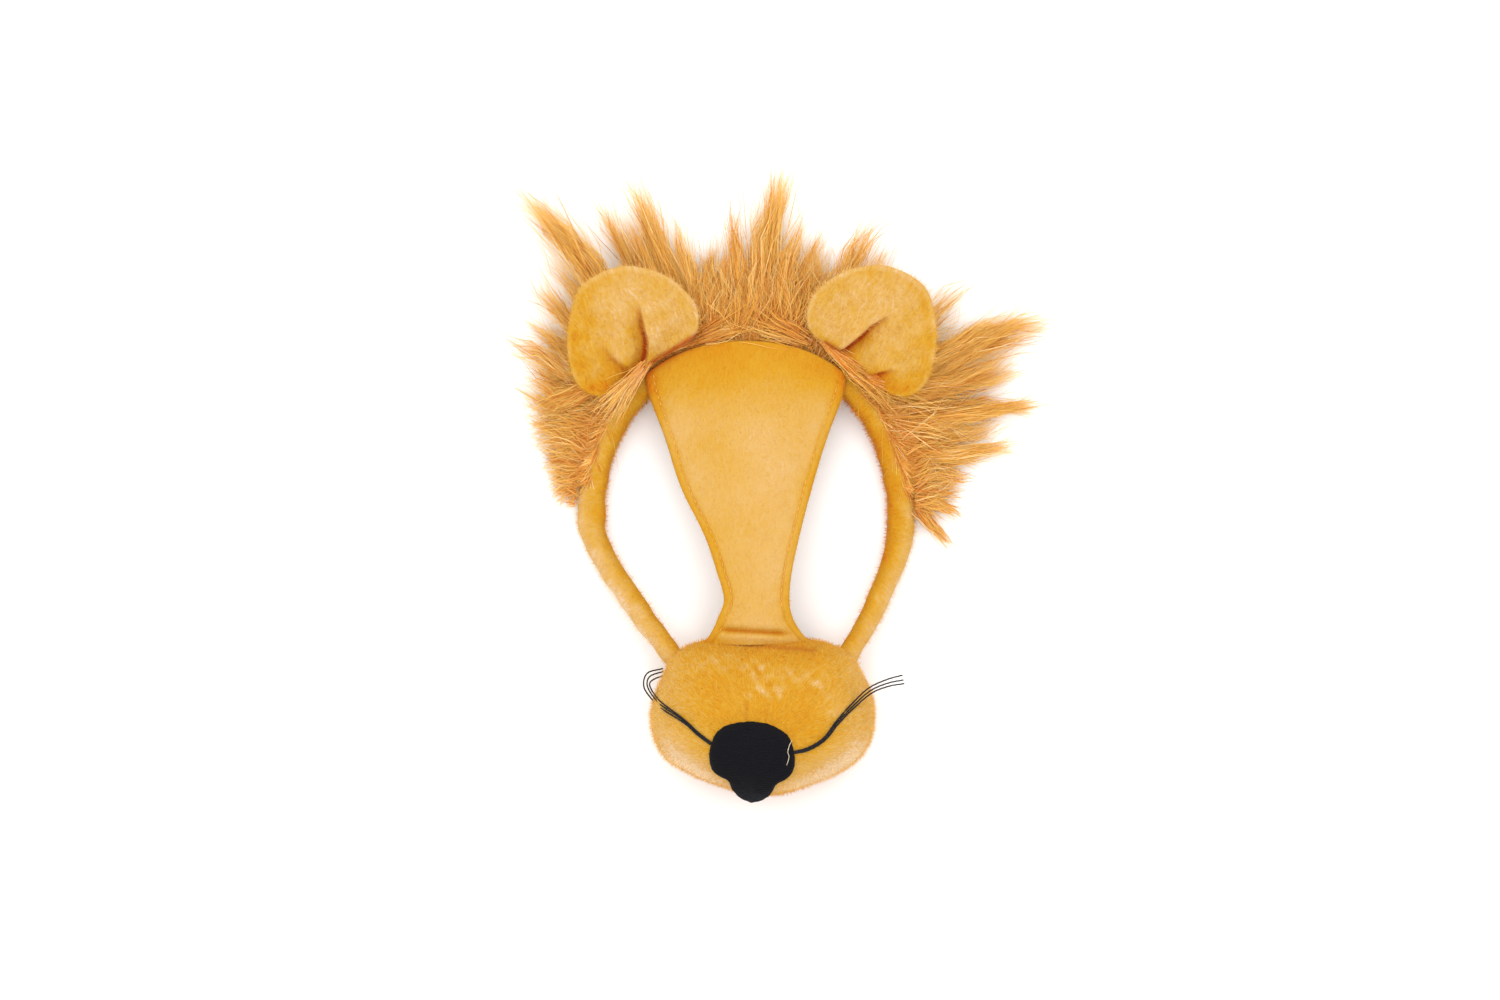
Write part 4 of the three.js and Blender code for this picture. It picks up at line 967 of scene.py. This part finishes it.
earOutline = [  # degrees from the top, reach on the outer side, reach on the inner side
    (0, 1, 1), (15, 1.03, 0.98), (30, 1.06, 0.94), (50, 1.02, 0.935), (70, 1.03, 0.94), (90, 1.09, 0.97),
    (106, 1.17, 0.94), (118, 1.19, 0.89), (131, 1.12, 0.77), (150, 0.82, 0.64), (165, 0.69, 0.61),
    (180, 0.64, 0.64)]
ear = {"width": 60, "plump": 8.5, "rim": 3, "lean": 17, "cup": 5, "base": 0.66, "columns": 200,
       "frontRows": 56, "backRows": 12, "lip": 1.0, "overlap": 8, "hollow": 5, "glow": 0.74}
ears = {
    # The number after turn darkens each ear towards its outer side, as painted shade where it curls away;
    # the two points under mark a painted shadow along its lower edge.
    "left": {"outwards": -1, "along": 0.316, "seatOut": 0.36, "turn": -13, "outerSideShade": 0.24,
             "under": [(-42, -5.5), (-22.5, 6.5)], "creases": [
        {"line": [(0.2, 1.06), (0.16, 0.9), (0.12, 0.68), (0.09, 0.45), (0.02, 0.28), (-0.12, 0.04)],
         "strength": [0, 0.85, 1], "step": 3.8, "dark": 0.8, "edge": 0.35},
        {"line": [(-0.56, 0.8), (-0.5, 0.5), (-0.42, 0.3), (-0.3, 0.1)],
         "strength": [0, 0.7, 0.6], "step": 2.4, "dark": 0.45, "edge": 1.0}]},
    "right": {"outwards": 1, "along": 0.696, "seatOut": 0.66, "turn": 11, "outerSideShade": 0.15,
              "under": [(36, 3), (43, -1.5)], "creases": [
        {"line": [(-0.34, 0.04), (-0.19, 0.23), (-0.08, 0.48), (0.02, 0.74), (0.2, 1.02)],
         "strength": [0.8, 1, 0], "step": 3.8, "dark": 1, "edge": 0.35},
        {"line": [(0.3, -0.02), (0.43, 0.13), (0.63, 0.3)],
         "strength": [0.3, 0.9, 0], "step": 1.6, "dark": 0.8, "edge": 0.4}]},
}


def earCreases(creases, side, out):  # how far stepped the folds are, and how much painted shade lies in them and along their lower sides
    half = ear["width"] / 2
    step, dark, lowSideShade = 0, 0, 0
    place = stack(side, out)
    for shadedCrease in creases:
        line = np.array(shadedCrease["line"])
        shares = np.linspace(0, 1, len(line))
        off, signed, along = np.full(side.shape, 1e9), 0 * side, 0 * side
        for k in range(len(line) - 1):
            way = line[k + 1] - line[k]
            run = np.clip((place - line[k]) @ way / (way @ way), 0, 1)
            away = place - line[k] - run[..., None] * way
            far = np.linalg.norm(away, axis=-1)
            nearer = far < off
            off = np.where(nearer, far, off)
            turned = (way[0] * away[..., 1] - way[1] * away[..., 0]) / np.linalg.norm(way)
            signed = np.where(nearer, turned, signed)
            along = np.where(nearer, shares[k] + run * (shares[k + 1] - shares[k]), along)
        off, signed = off * half, signed * half
        strength = np.interp(along, np.linspace(0, 1, 3), shadedCrease["strength"])
        upper = 0.5 + 0.5 * np.tanh(signed / shadedCrease["edge"])
        step = step + strength * shadedCrease["step"] * (upper * bell(off, ear["overlap"])
                                                   - 0.45 * (1 - upper) * bell(off, ear["hollow"]))
        # Painted shade in each crease and on its lower side; the second amount spreads wider and darkens the
        # ear's tone.
        dark = dark + strength * shadedCrease["dark"] * (bell(signed + 0.8, 1.3) * bell(off, 2.2)
                                                   + 0.5 * (1 - upper) * bell(off, 4.2))
        lowSideShade = lowSideShade + strength * shadedCrease["dark"] * (1 - upper) * bell(off, 6.5)
    return step, np.clip(dark, 0, 1), lowSideShade


def makeEar(name):
    one = ears[name]
    half = ear["width"] / 2
    point, way, out = archAt(np.array(one["along"]))
    spin = math.radians(one["turn"])

    def turned(v):
        return np.array([v[0] * math.cos(spin) - v[1] * math.sin(spin),
                         v[0] * math.sin(spin) + v[1] * math.cos(spin), 0])

    along, lean = turned(way), math.radians(ear["lean"])
    outwards = turned(out) * math.cos(lean) + np.array([0, 0, math.sin(lean)])
    facing = np.cross(along, outwards)
    facing = facing * (1 if facing[2] > 0 else -1)
    lifted = np.array([0, 0, bandFront(one["along"]) + ear["rim"]])
    seat = point + out * one["seatOut"] * arch["pad"] + lifted
    turn = np.arange(ear["columns"]) / ear["columns"] * 2 * math.pi
    folded = np.abs((np.degrees(turn) + 180) % 360 - 180)
    outline = np.where(np.sin(turn) * one["outwards"] > 0, readTable(earOutline, folded, 1),
                       readTable(earOutline, folded, 2)) - ear["lip"] / half
    frontShare = 1 - (1 - np.linspace(0.03, 1, ear["frontRows"])) ** 1.3
    backShare = np.linspace(1, 0.03, ear["backRows"])

    def layer(share, face):
        share = share[:, None]
        reach = outline * share
        side, up = np.sin(turn) * reach, ear["base"] + np.cos(turn) * reach
        step, dark, lowSideShade = earCreases(one["creases"], side, up)
        keep = 1 - share**12
        plump = (ear["rim"] + (ear["plump"] - ear["rim"]) * (1 - share**2)) / 2
        lift = ear["cup"] * side**2 * (1 - 0.3 * up) + face * plump + (step * keep if face > 0 else 0)
        flat = seat + along * (side * half)[..., None] + outwards * (up * half)[..., None]
        rough = softNoise(flat, 16, 51) * 0.3 + softNoise(flat, 5, 52) * 0.1
        return (flat + facing * (lift + rough * face)[..., None], side, up, dark * (face > 0),
                lowSideShade * (face > 0), share + 0 * side)

    front, back = layer(frontShare, 1), layer(backShare, -1)
    rim = np.radians([60, 30, 0, -30, -60])[:, None]
    mid, across = (front[0][-1] + back[0][0]) / 2, (front[0][-1] - back[0][0]) / 2
    radial = unit(along * np.sin(turn)[:, None] + outwards * np.cos(turn)[:, None])
    lip = mid + across * np.sin(rim)[..., None] + radial * ear["lip"] * np.cos(rim)[..., None]
    grid = np.concatenate([front[0], lip, back[0]])
    side, up, dark, lowSideShade, share = (
        np.concatenate([front[k], np.repeat(front[k][-1:], len(rim), axis=0), back[k]]) for k in range(1, 6))
    # Painted light and shade: darker near the rim where the ear curls away, a thin painted highlight on the
    # very rim, darker at the base, darker towards the outer side, and the folds' painted shade; the noise is
    # the cloth's own tone.
    glow = ear["glow"] + 0.06 * softNoise(grid, 13, 53) - 0.14 * bell(1 - share, 0.16)
    glow = glow + 0.16 * bell(1 - share, 0.04) - 0.2 * bell(up - 0.05, 0.2)
    glow = glow - one["outerSideShade"] * smoothStep(0.1, 0.9, side * one["outwards"]) - 0.5 * lowSideShade
    # A painted shadow along the ear's lower edge, where it stands over the band and panel.
    under = segmentDistance(grid[..., :2], *one["under"])
    dark = np.maximum(dark, 0.85 * bell(under / 1.4, 1) * (share > 0.8))
    comb = along * side[..., None] + outwards * (up + 0.1)[..., None]
    return lathe("ear_" + name + "_plush", grid, earPlush, {
        "glow": glow, "shadedCrease": dark, "lay": stack(side, up, 0) * half, "comb": unit(comb),
        "hairy": 1 + 0 * glow})


print("ears")
for number, name in enumerate(ears):
    madeEar = makeEar(name)
    finishPiece(madeEar, "plush", "ear_" + name, fill=0.6)
    growPile(madeEar, density=0.8, length=2.1, lean=0.8, laySize=24, thickness=0.2, seed=14 + number)


# Mane: long strands in locks over a thick underfur

underfur = [  # along, length
    (0, 0.03), (0.04, 0.12), (0.08, 0.26), (0.12, 0.44), (0.2, 0.8), (0.3, 0.9), (0.4, 0.85), (0.47, 0.74),
    (0.54, 0.9), (0.62, 0.82), (0.72, 0.9), (0.8, 1), (0.87, 0.62), (0.93, 0.36), (0.97, 0.38), (1, 0.3)]
locks = [  # along, level, side, up, girth, bend
    (0.04, 0.5, -0.11, 0.01, 0.33, 0.18), (0.09, 0.4, -0.19, 0.05, 0.39, -0.15),
    (0.13, 0.6, -0.28, 0.12, 0.39, -0.10), (0.155, 0.35, -0.37, 0.22, 0.39, -0.09),
    (0.18, 0.5, -0.37, 0.28, 0.44, 0.07), (0.2, 0.7, -0.48, 0.33, 0.39, 0.09),
    (0.225, 0.3, -0.34, 0.33, 0.50, -0.07), (0.27, 0.5, -0.44, 0.47, 0.50, -0.06),
    (0.315, 0.5, -0.59, 0.81, 0.94, 0.09), (0.345, 0.45, -0.30, 0.74, 0.50, 0.04),
    (0.36, 0.6, -0.20, 0.65, 0.44, 0.03), (0.4, 0.45, -0.29, 0.78, 0.72, 0.06),
    (0.42, 0.6, -0.12, 0.56, 0.50, 0.04), (0.455, 0.4, -0.03, 0.43, 0.50, -0.05),
    (0.49, 0.6, -0.04, 0.65, 0.33, 0.05), (0.52, 0.45, 0.11, 0.78, 1.00, -0.07),
    (0.545, 0.65, 0.13, 0.56, 0.61, -0.04), (0.575, 0.45, 0.13, 0.45, 0.50, 0.07),
    (0.615, 0.55, 0.31, 0.57, 0.61, -0.06), (0.66, 0.4, 0.27, 0.53, 0.39, -0.05),
    (0.72, 0.5, 0.55, 0.47, 0.3, -0.04), (0.77, 0.6, 0.63, 0.31, 0.89, -0.07),
    (0.8, 0.5, 0.80, 0.39, 0.72, -0.13), (0.835, 0.35, 0.46, 0.14, 0.50, 0.06),
    (0.85, 0.55, 0.65, 0.12, 0.72, -0.08), (0.89, 0.5, 0.51, 0.04, 0.61, 0.10),
    (0.925, 0.4, 0.29, -0.03, 0.50, -0.07), (0.96, 0.5, 0.24, -0.13, 0.44, -0.07),
    (0.975, 0.45, 0.20, -0.22, 0.50, 0.10)]
wisps = [  # thin ones between the locks, in the same columns
    (0.06, 0.3, -0.15, 0.03, 0.3, -0.1), (0.115, 0.7, -0.24, 0.1, 0.3, 0.1),
    (0.17, 0.75, -0.33, 0.24, 0.3, -0.1), (0.21, 0.5, -0.42, 0.4, 0.3, 0.1),
    (0.25, 0.6, -0.36, 0.42, 0.35, 0.05), (0.29, 0.5, -0.42, 0.6, 0.35, -0.06),
    (0.385, 0.6, -0.2, 0.56, 0.35, -0.06), (0.43, 0.4, -0.12, 0.46, 0.3, 0.08),
    (0.47, 0.6, 0.02, 0.5, 0.3, -0.08), (0.505, 0.4, 0.06, 0.56, 0.4, 0.06),
    (0.56, 0.5, 0.2, 0.5, 0.35, -0.06), (0.6, 0.5, 0.24, 0.44, 0.35, 0.06),
    (0.735, 0.35, 0.46, 0.4, 0.25, 0.05), (0.755, 0.6, 0.62, 0.3, 0.35, -0.06),
    (0.76, 0.45, 0.69, 0.26, 0.5, -0.1), (0.785, 0.6, 0.6, 0.2, 0.5, 0.06),
    (0.82, 0.4, 0.62, 0.22, 0.4, -0.1), (0.845, 0.6, 0.44, 0.06, 0.4, -0.06),
    (0.87, 0.4, 0.5, 0.12, 0.4, 0.08), (0.905, 0.6, 0.36, 0.0, 0.4, -0.08),
    (0.945, 0.5, 0.22, -0.06, 0.35, 0.08)]
mane = {"underfurLength": 34, "lockLength": 98, "lockGirth": 18, "backing": 2.5, "room": 1, "front": 2,
        "start": 0.02, "end": 0.985, "lockStrands": 11600, "underStrands": 8700, "coverStrands": 3000,
        "fringeStrands": 6700, "fringeLength": 27, "tufts": 11, "thickShare": 0.2, "thickGirth": 1.7,
        "thickness": 0.33, "frizz": 0.44, "frizzSize": 9, "steps": 4, "pieces": 4,
        "clump": 4.5, "clumpRows": 3, "length": 240, "past": 3, "fineGirth": 0.8, "sag": 0.08,
        "tuftSpread": 0.3, "tuftDepth": 0.35, "tuftShorter": 0.22, "hairSpread": 0.12, "hairShorter": 0.13,
        "farShare": 0.24, "farReach": 1.32, "farStray": 3.5, "underStray": 0.5, "fringeShortest": 7,
        "fringeStray": 0.7, "coverShortest": 6, "coverLonger": 22, "coverStray": 0.52}


def makeStrandTree():
    tree, given, end = newTree("grow strands", {
        "Steps": ("Int", 4), "Thickness": ("Float", 0.0004), "Frizz": ("Float", 0.1),
        "Frizz Size": ("Float", 0.012), "Material": ("Material", None)})
    points = add(tree, "GeometryNodeMeshToPoints", {"Mesh": given["Geometry"]}).outputs[0]
    blade = add(tree, "GeometryNodeMeshCone", {
        "Vertices": 3, "Side Segments": given["Steps"], "Radius Top": 0.0, "Radius Bottom": 1.0,
        "Depth": 1.0}, fill_type="NONE").outputs[0]
    place = add(tree, "GeometryNodeInputPosition").outputs[0]
    parts = add(tree, "ShaderNodeSeparateXYZ", {0: place}).outputs
    marked = add(tree, "GeometryNodeStoreNamedAttribute",
                 {"Geometry": blade, "Name": "shaft", "Value": parts[2]}, data_type="FLOAT").outputs[0]
    around = vectors(tree, "NORMALIZE", combine(tree, parts[0], parts[1]))
    marked = add(tree, "GeometryNodeStoreNamedAttribute",
                 {"Geometry": marked, "Name": "ring", "Value": around}, data_type="FLOAT_VECTOR").outputs[0]
    grown = add(tree, "GeometryNodeInstanceOnPoints", {"Points": points, "Instance": marked}).outputs[0]
    real = realized(tree, grown)
    root, bend, tip, ring = (named(tree, label) for label in ("root", "bend", "tip", "ring"))
    shaft, girth, waver = (named(tree, label, "FLOAT") for label in ("shaft", "girth", "waver"))
    early, late = mixed(tree, shaft, root, bend, "VECTOR"), mixed(tree, shaft, bend, tip, "VECTOR")
    middle = mixed(tree, shaft, early, late, "VECTOR")
    way = vectors(tree, "NORMALIZE", vectors(tree, "SUBTRACT", late, early))
    across = vectors(tree, "NORMALIZE", vectors(tree, "CROSS_PRODUCT", way, (0.0, 0.05, 1.0)))
    over = vectors(tree, "CROSS_PRODUCT", way, across)
    length = vectors(tree, "LENGTH", vectors(tree, "SUBTRACT", tip, root))
    field = vectors(tree, "DIVIDE", middle, combine(tree, *[given["Frizz Size"]] * 3))
    field = vectors(tree, "ADD", field, combine(tree, waver, 0.0, waver))
    sway = add(tree, "ShaderNodeTexNoise", {"Vector": field, "Scale": 1.0, "Detail": 1.5}).outputs["Color"]
    sway = vectors(tree, "SCALE", vectors(tree, "SUBTRACT", sway, (0.5, 0.5, 0.5)), scale=maths(
        tree, "MULTIPLY", maths(tree, "MULTIPLY", length, given["Frizz"]), shaft))
    thin = maths(tree, "SUBTRACT", 1.0, maths(tree, "MULTIPLY", maths(tree, "POWER", shaft, 1.6), 0.8))
    size = maths(tree, "MULTIPLY", maths(tree, "MULTIPLY", girth, given["Thickness"]), thin)
    spokes = add(tree, "ShaderNodeSeparateXYZ", {0: ring}).outputs
    offset = vectors(tree, "ADD",  # turned so that one of a hair's three faces points forwards
                     vectors(tree, "SCALE", across, scale=maths(tree, "MULTIPLY", spokes[1], size)),
                     vectors(tree, "SCALE", over, scale=maths(tree, "MULTIPLY", spokes[0], maths(
                         tree, "MULTIPLY", size, -1.0))))
    curved = vectors(tree, "ADD", vectors(tree, "ADD", middle, sway), offset)
    return endTree(tree, aboveFloor(tree, real, curved, strandGap * mm), given["Material"], end)


strandTree = makeStrandTree()


def girthAndTone(rng, tone):  # mostly fine hairs, with thick ones of any shade among them
    thick = rng.uniform(size=len(tone)) < mane["thickShare"]
    girth = np.where(thick, mane["thickGirth"], mane["fineGirth"]) * rng.uniform(0.85, 1.15, len(tone))
    return girth, np.where(thick, rng.uniform(-0.1, 0.95, len(tone)), tone)


def lockStrands(rng, count):
    table = np.array(locks + wisps)
    reach = np.hypot(table[:, 2], table[:, 3]) * mane["lockLength"]
    weights = table[:, 4] ** 1.5 * reach
    which = rng.choice(len(table), count, p=weights / weights.sum())
    along, level, side, up, girth, bend = table[which].T
    point, way, out = archAt(along)
    girth = girth * mane["lockGirth"]
    height = mane["room"] + girth * 0.3 + (bandFront(along) - girth * 0.3) * level
    root = point + out * (arch["pad"] / 2 + arch["seamGap"] + 1) + stack(0, 0, height)
    travel = stack(side, up, 0) * mane["lockLength"]
    aside = stack(-travel[:, 1], travel[:, 0], 0)
    reach = np.linalg.norm(travel, axis=1)
    control = root + travel * 0.55 - aside * bend[:, None]
    tip = root + travel - stack(0, 0, np.minimum(height - mane["room"] - 1, reach * mane["sag"]))
    tufts = mane["tufts"]
    tuft = which * tufts + rng.integers(0, tufts, count)
    each = len(table) * tufts
    tuftSide, tuftDeep = rng.normal(size=each).clip(-2, 2), rng.uniform(-1, 1, each)
    tuftShare = 1 - np.abs(rng.normal(size=each)).clip(0, 2.2) * mane["tuftShorter"]
    tuftShare[::tufts] = 1
    tuftSide[::tufts] = 0
    drift = rng.normal(size=(each, 3))[tuft] * [1, 1, 0.5]
    side = way * (tuftSide[tuft] * girth * mane["tuftSpread"])[:, None] + stack(
        0, 0, tuftDeep[tuft] * girth * mane["tuftDepth"])
    loose = rng.normal(size=(count, 3)) * [1, 1, 0.5]
    offset = side + loose * (girth * mane["hairSpread"])[:, None]
    offset = offset + out * rng.uniform(-1.5, 3.0, count)[:, None]
    far = rng.uniform(size=count) < mane["farShare"]
    share = tuftShare[tuft] * (1 - np.abs(rng.normal(size=count)).clip(0, 2.5) * mane["hairShorter"])
    share = np.where(far, share * rng.uniform(1, mane["farReach"], count), share)[:, None]
    mid = root + (control - root) * share
    late = control + (tip - control) * share
    end = mid + (late - mid) * share
    stray = 1 + mane["farStray"] * far
    end = end + side * (0.05 + 0.5 * (1 - share)) + drift * (0.3 + 0.018 * reach)[:, None] * (1.5 - share)
    end = end + loose * (stray * (0.2 + 0.011 * reach))[:, None]
    bendAt = mid + offset * 0.42 + drift * 0.5
    tone = 0.55 + 0.12 * rng.normal(size=count) + 0.14 * rng.normal(size=each)[tuft]
    return root + offset, bendAt, end, *girthAndTone(rng, tone), along


def underStrands(rng, count):
    along = rng.uniform(mane["start"], mane["end"], count)
    weight = readTable(underfur, along)
    keep = rng.uniform(0, 1, count) < 0.25 + 0.75 * weight
    along = along[keep]
    count = len(along)
    point, way, out = archAt(along)
    front = bandFront(along) + mane["front"]
    level = rng.uniform(0.06, 1, count)
    root = point + out * (arch["pad"] / 2 + arch["seamGap"] + rng.uniform(0, 2, count))[:, None] + stack(
        0, 0, level * front)
    longer = rng.uniform(0.55, 1.12, count)
    length = mane["backing"] + readTable(underfur, along) * mane["underfurLength"] * longer
    lean = 0.4 * softNoise(root, 12, 61) + rng.normal(size=count) * mane["underStray"]
    rise = (level - 0.55) * 0.5 + rng.normal(size=count) * 0.1
    aim = unit(out * np.cos(lean)[:, None] + way * np.sin(lean)[:, None] + stack(0, 0, rise))
    end = root + aim * length[:, None]
    end[:, 2] = np.maximum(end[:, 2] - 0.12 * length, 1.2)
    clumps, clumpRows = mane["length"] / mane["clump"], mane["clumpRows"]
    centres = rng.uniform(0, 1, (int(clumps) * clumpRows, 2)) * [clumps, clumpRows]
    arc = stack(along * mane["length"] / mane["clump"], level * clumpRows)
    nearest = np.argmin(((arc[:, None] - centres[None]) ** 2).sum(-1), axis=1)
    pull = np.zeros((len(centres), 3))
    hits = np.bincount(nearest, minlength=len(centres)).clip(1)
    for k in range(3):
        pull[:, k] = np.bincount(nearest, weights=end[:, k], minlength=len(centres)) / hits
    end = end + (pull[nearest] - end) * rng.uniform(0.05, 0.5, count)[:, None]
    bendAt = (root + end) / 2 + out * (length * 0.12)[:, None] + stack(0, 0, length * 0.07)
    bendAt = bendAt + way * (rng.normal(size=count) * length * 0.14)[:, None]
    tone = 0.45 + 0.16 * rng.normal(size=count) + 0.15 * softNoise(root, 6, 62)
    return root, bendAt, end, *girthAndTone(rng, tone), along


def fringeStrands(rng, count):  # single curved hairs that stand out between the locks
    along = rng.uniform(mane["start"] + 0.02, mane["end"] - 0.01, count)
    weight = readTable(underfur, along)
    point, way, out = archAt(along)
    root = point + out * (arch["pad"] / 2 + 1 + weight * rng.uniform(2, 20, count))[:, None] + stack(
        0, 0, (0.25 + 0.65 * rng.uniform(size=count)) * bandFront(along))
    length = mane["fringeShortest"] + weight * mane["fringeLength"] * rng.uniform(0.3, 1.2, count)
    lean = rng.normal(size=count) * mane["fringeStray"]
    aim = out * np.cos(lean)[:, None] + way * np.sin(lean)[:, None]
    aside = np.cross(aim, [0, 0, 1]) * (rng.normal(size=count) * 0.2 * length)[:, None]
    end = root + aim * length[:, None] - aside * 0.5 - stack(0, 0, length * 0.15)
    bendAt = root + aim * (length * 0.5)[:, None] + aside
    return root, bendAt, end, rng.uniform(0.8, 1.3, count), 0.55 + 0.3 * rng.normal(size=count), along


def coverStrands(rng, count):  # rooted on the headband's front and swept outwards
    along = rng.uniform(0.06, 0.95, count)
    point, way, out = archAt(along)
    front = bandFront(along)
    offset = rng.uniform(1.0, 6.0, count)
    root = point + out * offset[:, None] + stack(0, 0, front - 0.08 * (offset - 1) ** 2 - 0.5)
    length = mane["coverShortest"] + readTable(underfur, along) * mane["coverLonger"]
    length = length * rng.uniform(0.5, 1.1, count)
    lower = np.sign(along - 0.5) * smoothStep(0.2, 0.34, np.abs(along - 0.5))
    lean = 0.8 * lower + 0.45 * softNoise(root, 14, 63) + rng.normal(size=count) * mane["coverStray"]
    aim = unit(out * np.cos(lean)[:, None] + way * np.sin(lean)[:, None])
    end = root + aim * length[:, None] - stack(0, 0, length * 0.25)
    end[:, 2] = np.maximum(end[:, 2], 1.5)
    bendAt = root + aim * (length * 0.5)[:, None] + stack(0, 0, 1.5 + length * 0.05)
    tone = 0.42 + 0.2 * rng.normal(size=count)
    return root, bendAt, end, *girthAndTone(rng, tone), along


sweeps = [  # start, bend and end in mm, how many, girth at both ends, tone
    ((-46, -7, 32), (-54, -16, 34), (-65.5, -29, 23), 80, (2.2, 9), 0.65),
    ((-48, -9.5, 33), (-56.5, -17.5, 34), (-62, -27, 24), 40, (1.6, 7), 0.75),
    ((-66, -14.5, 20), (-76, -19.5, 24), (-89, -25, 10), 260, (3, 5), 0.45),
    ((31, 8, 27), (48, -10.5, 29), (75, -21, 21), 75, (1.0, 9), 0.45),
    ((38, 0.5, 28), (53, -13, 28), (72, -26.5, 18), 75, (1.0, 9), 0.4),
    ((58, -13, 27), (74, -18.5, 26), (92, -15, 14), 240, (2.4, 5), 0.4),
    ((-20.5, 6, 24.5), (-12, 9, 26), (-2, 15, 22), 90, (5, 12), 0.4),
    ((24, 5, 24.5), (14, 9, 26), (2, 15, 22), 90, (5, 12), 0.4),
    # Dark hairs along the left ear's foot: the hairs are real, their darkness painted shade.
    ((-44, -5.5, 26), (-34, 0.5, 27.5), (-21, 6.5, 26), 110, (1.2, 1.4), -0.1),
]


def sweepStrands(rng):  # gathered where the ears, the headband and the forehead panel meet
    found = []
    for start, middle, stop, count, girths, tone in sweeps:
        count = int(count * thinning)
        shift = rng.normal(size=(count, 3)) * [1, 1, 0.35]
        slide = rng.uniform(-0.25, 0.35, count)[:, None]
        start, middle, stop = (np.array(spot, float) for spot in (start, middle, stop))
        root = start + shift * girths[0] * 0.5 + (middle - start) * slide
        frayed = rng.normal(size=(count, 3)) * [2.5, 2.5, 0.7]
        tip = stop + shift * girths[1] * 0.5 + frayed - (stop - middle) * slide
        bendAt = middle + shift * (girths[0] * 0.35 + girths[1] * 0.15) + rng.normal(size=(count, 3)) * 0.5
        side = np.clip(start[0] / (arch["span"] - arch["pad"]) + 0.5, 0, 1) + 0 * shift[:, 0]
        found.append([root, bendAt, tip, *girthAndTone(rng, tone + 0.2 * rng.normal(size=count)), side])
    return [np.concatenate(numbers) for numbers in zip(*found)]


def shortened(root, bend, tip):  # hairs that would reach too far past the solids
    low, high = (np.array(corner) / mm for corner in cadBox)
    way = tip - root
    limit = np.where(way > 0, high + mane["past"], low - mane["past"])
    share = np.where(np.abs(way) > 1e-6, (limit - root) / way, 1)[:, :2].min(axis=1)
    share = np.clip(share, 0, 1)[:, None]
    return root + (bend - root) * share, root + way * share


def growStrands(name, root, bend, tip, girth, tone, thickness):
    mesh = bpy.data.meshes.new(name)
    mesh.vertices.add(len(root))
    mesh.vertices.foreach_set("co", (root * mm).astype(np.float32).ravel())
    waver = np.random.default_rng(len(root)).uniform(0, 0.9, len(root))
    storeValues(mesh, {"root": root * mm, "bend": bend * mm, "tip": tip * mm,
                       "girth": girth, "tone": tone, "waver": waver})
    piece = newObject(name, mesh)
    runTree(piece, strandTree, {"Steps": mane["steps"], "Thickness": thickness * mm / 2,
                                "Frizz": mane["frizz"], "Frizz Size": mane["frizzSize"] * mm,
                                "Material": maneFur})
    return finishPiece(piece, "mane_fur", "mane")


print("mane")
maneRandom = np.random.default_rng(71)
thinning = 1
growers = {"lockStrands": lockStrands, "underStrands": underStrands, "coverStrands": coverStrands,
           "fringeStrands": fringeStrands}
sets = [grower(maneRandom, int(mane[kind] * thinning)) for kind, grower in growers.items()]
sets.append(sweepStrands(maneRandom))
root, bend, tip, girth, tone, along = (np.concatenate(numbers) for numbers in zip(*sets))
bend, tip = shortened(root, bend, tip)
order = np.argsort(along, kind="stable")
for number, chosen in enumerate(np.array_split(order, mane["pieces"])):
    made = growStrands(f"mane_strands_{number + 1}", root[chosen], bend[chosen], tip[chosen], girth[chosen],
                       tone[chosen], mane["thickness"] * (1))
    print(made.name, len(made.data.polygons), "faces")


# Floor, light and camera

stage = {"floor": 30.0, "floorTone": 0.93, "keyPower": 47.0, "keySize": 3.0, "keyPlace": (-0.03, 0.4, 2.55),
         "sky": 1.15, "viewWidth": 0.675, "distance": 8.0, "aim": (0.0018, -0.06705), "sensor": 36}


def makeStage():
    half = stage["floor"] / 2
    mesh = bpy.data.meshes.new("floor")
    corners = [(-half, -half, 0), (half, -half, 0), (half, half, 0), (-half, half, 0)]
    mesh.from_pydata(corners, [], [(0, 1, 2, 3)])
    floor = newObject("floor", mesh)
    material, _, shader = newMaterial("floor", roughness=0.9, specular=0.1)
    shader.inputs["Base Color"].default_value = (*[stage["floorTone"]] * 3, 1)
    mesh.materials.append(material)
    light = bpy.data.lights.new("softbox", "AREA")
    light.shape, light.size, light.energy = "DISK", stage["keySize"], stage["keyPower"]
    softbox = newObject("softbox", light)
    softbox.location = stage["keyPlace"]
    softbox.rotation_euler = (Vector((0, 0, 0)) - softbox.location).to_track_quat("-Z", "Y").to_euler()
    softbox.visible_camera = False
    world = bpy.context.scene.world or bpy.data.worlds.new("studio")
    bpy.context.scene.world = world
    world.use_nodes = True
    sky = world.node_tree.nodes["Background"].inputs
    sky[0].default_value, sky[1].default_value = (1, 1, 1, 1), stage["sky"]
    lens = bpy.data.cameras.new("camera")
    lens.sensor_width = stage["sensor"]
    lens.lens = stage["sensor"] * stage["distance"] / stage["viewWidth"]
    lens.clip_end = 100
    camera = newObject("camera", lens)
    camera.location = (*stage["aim"], stage["distance"])
    bpy.context.scene.camera = camera
    bpy.context.scene.view_settings.view_transform = "Standard"


print("stage")
makeStage()
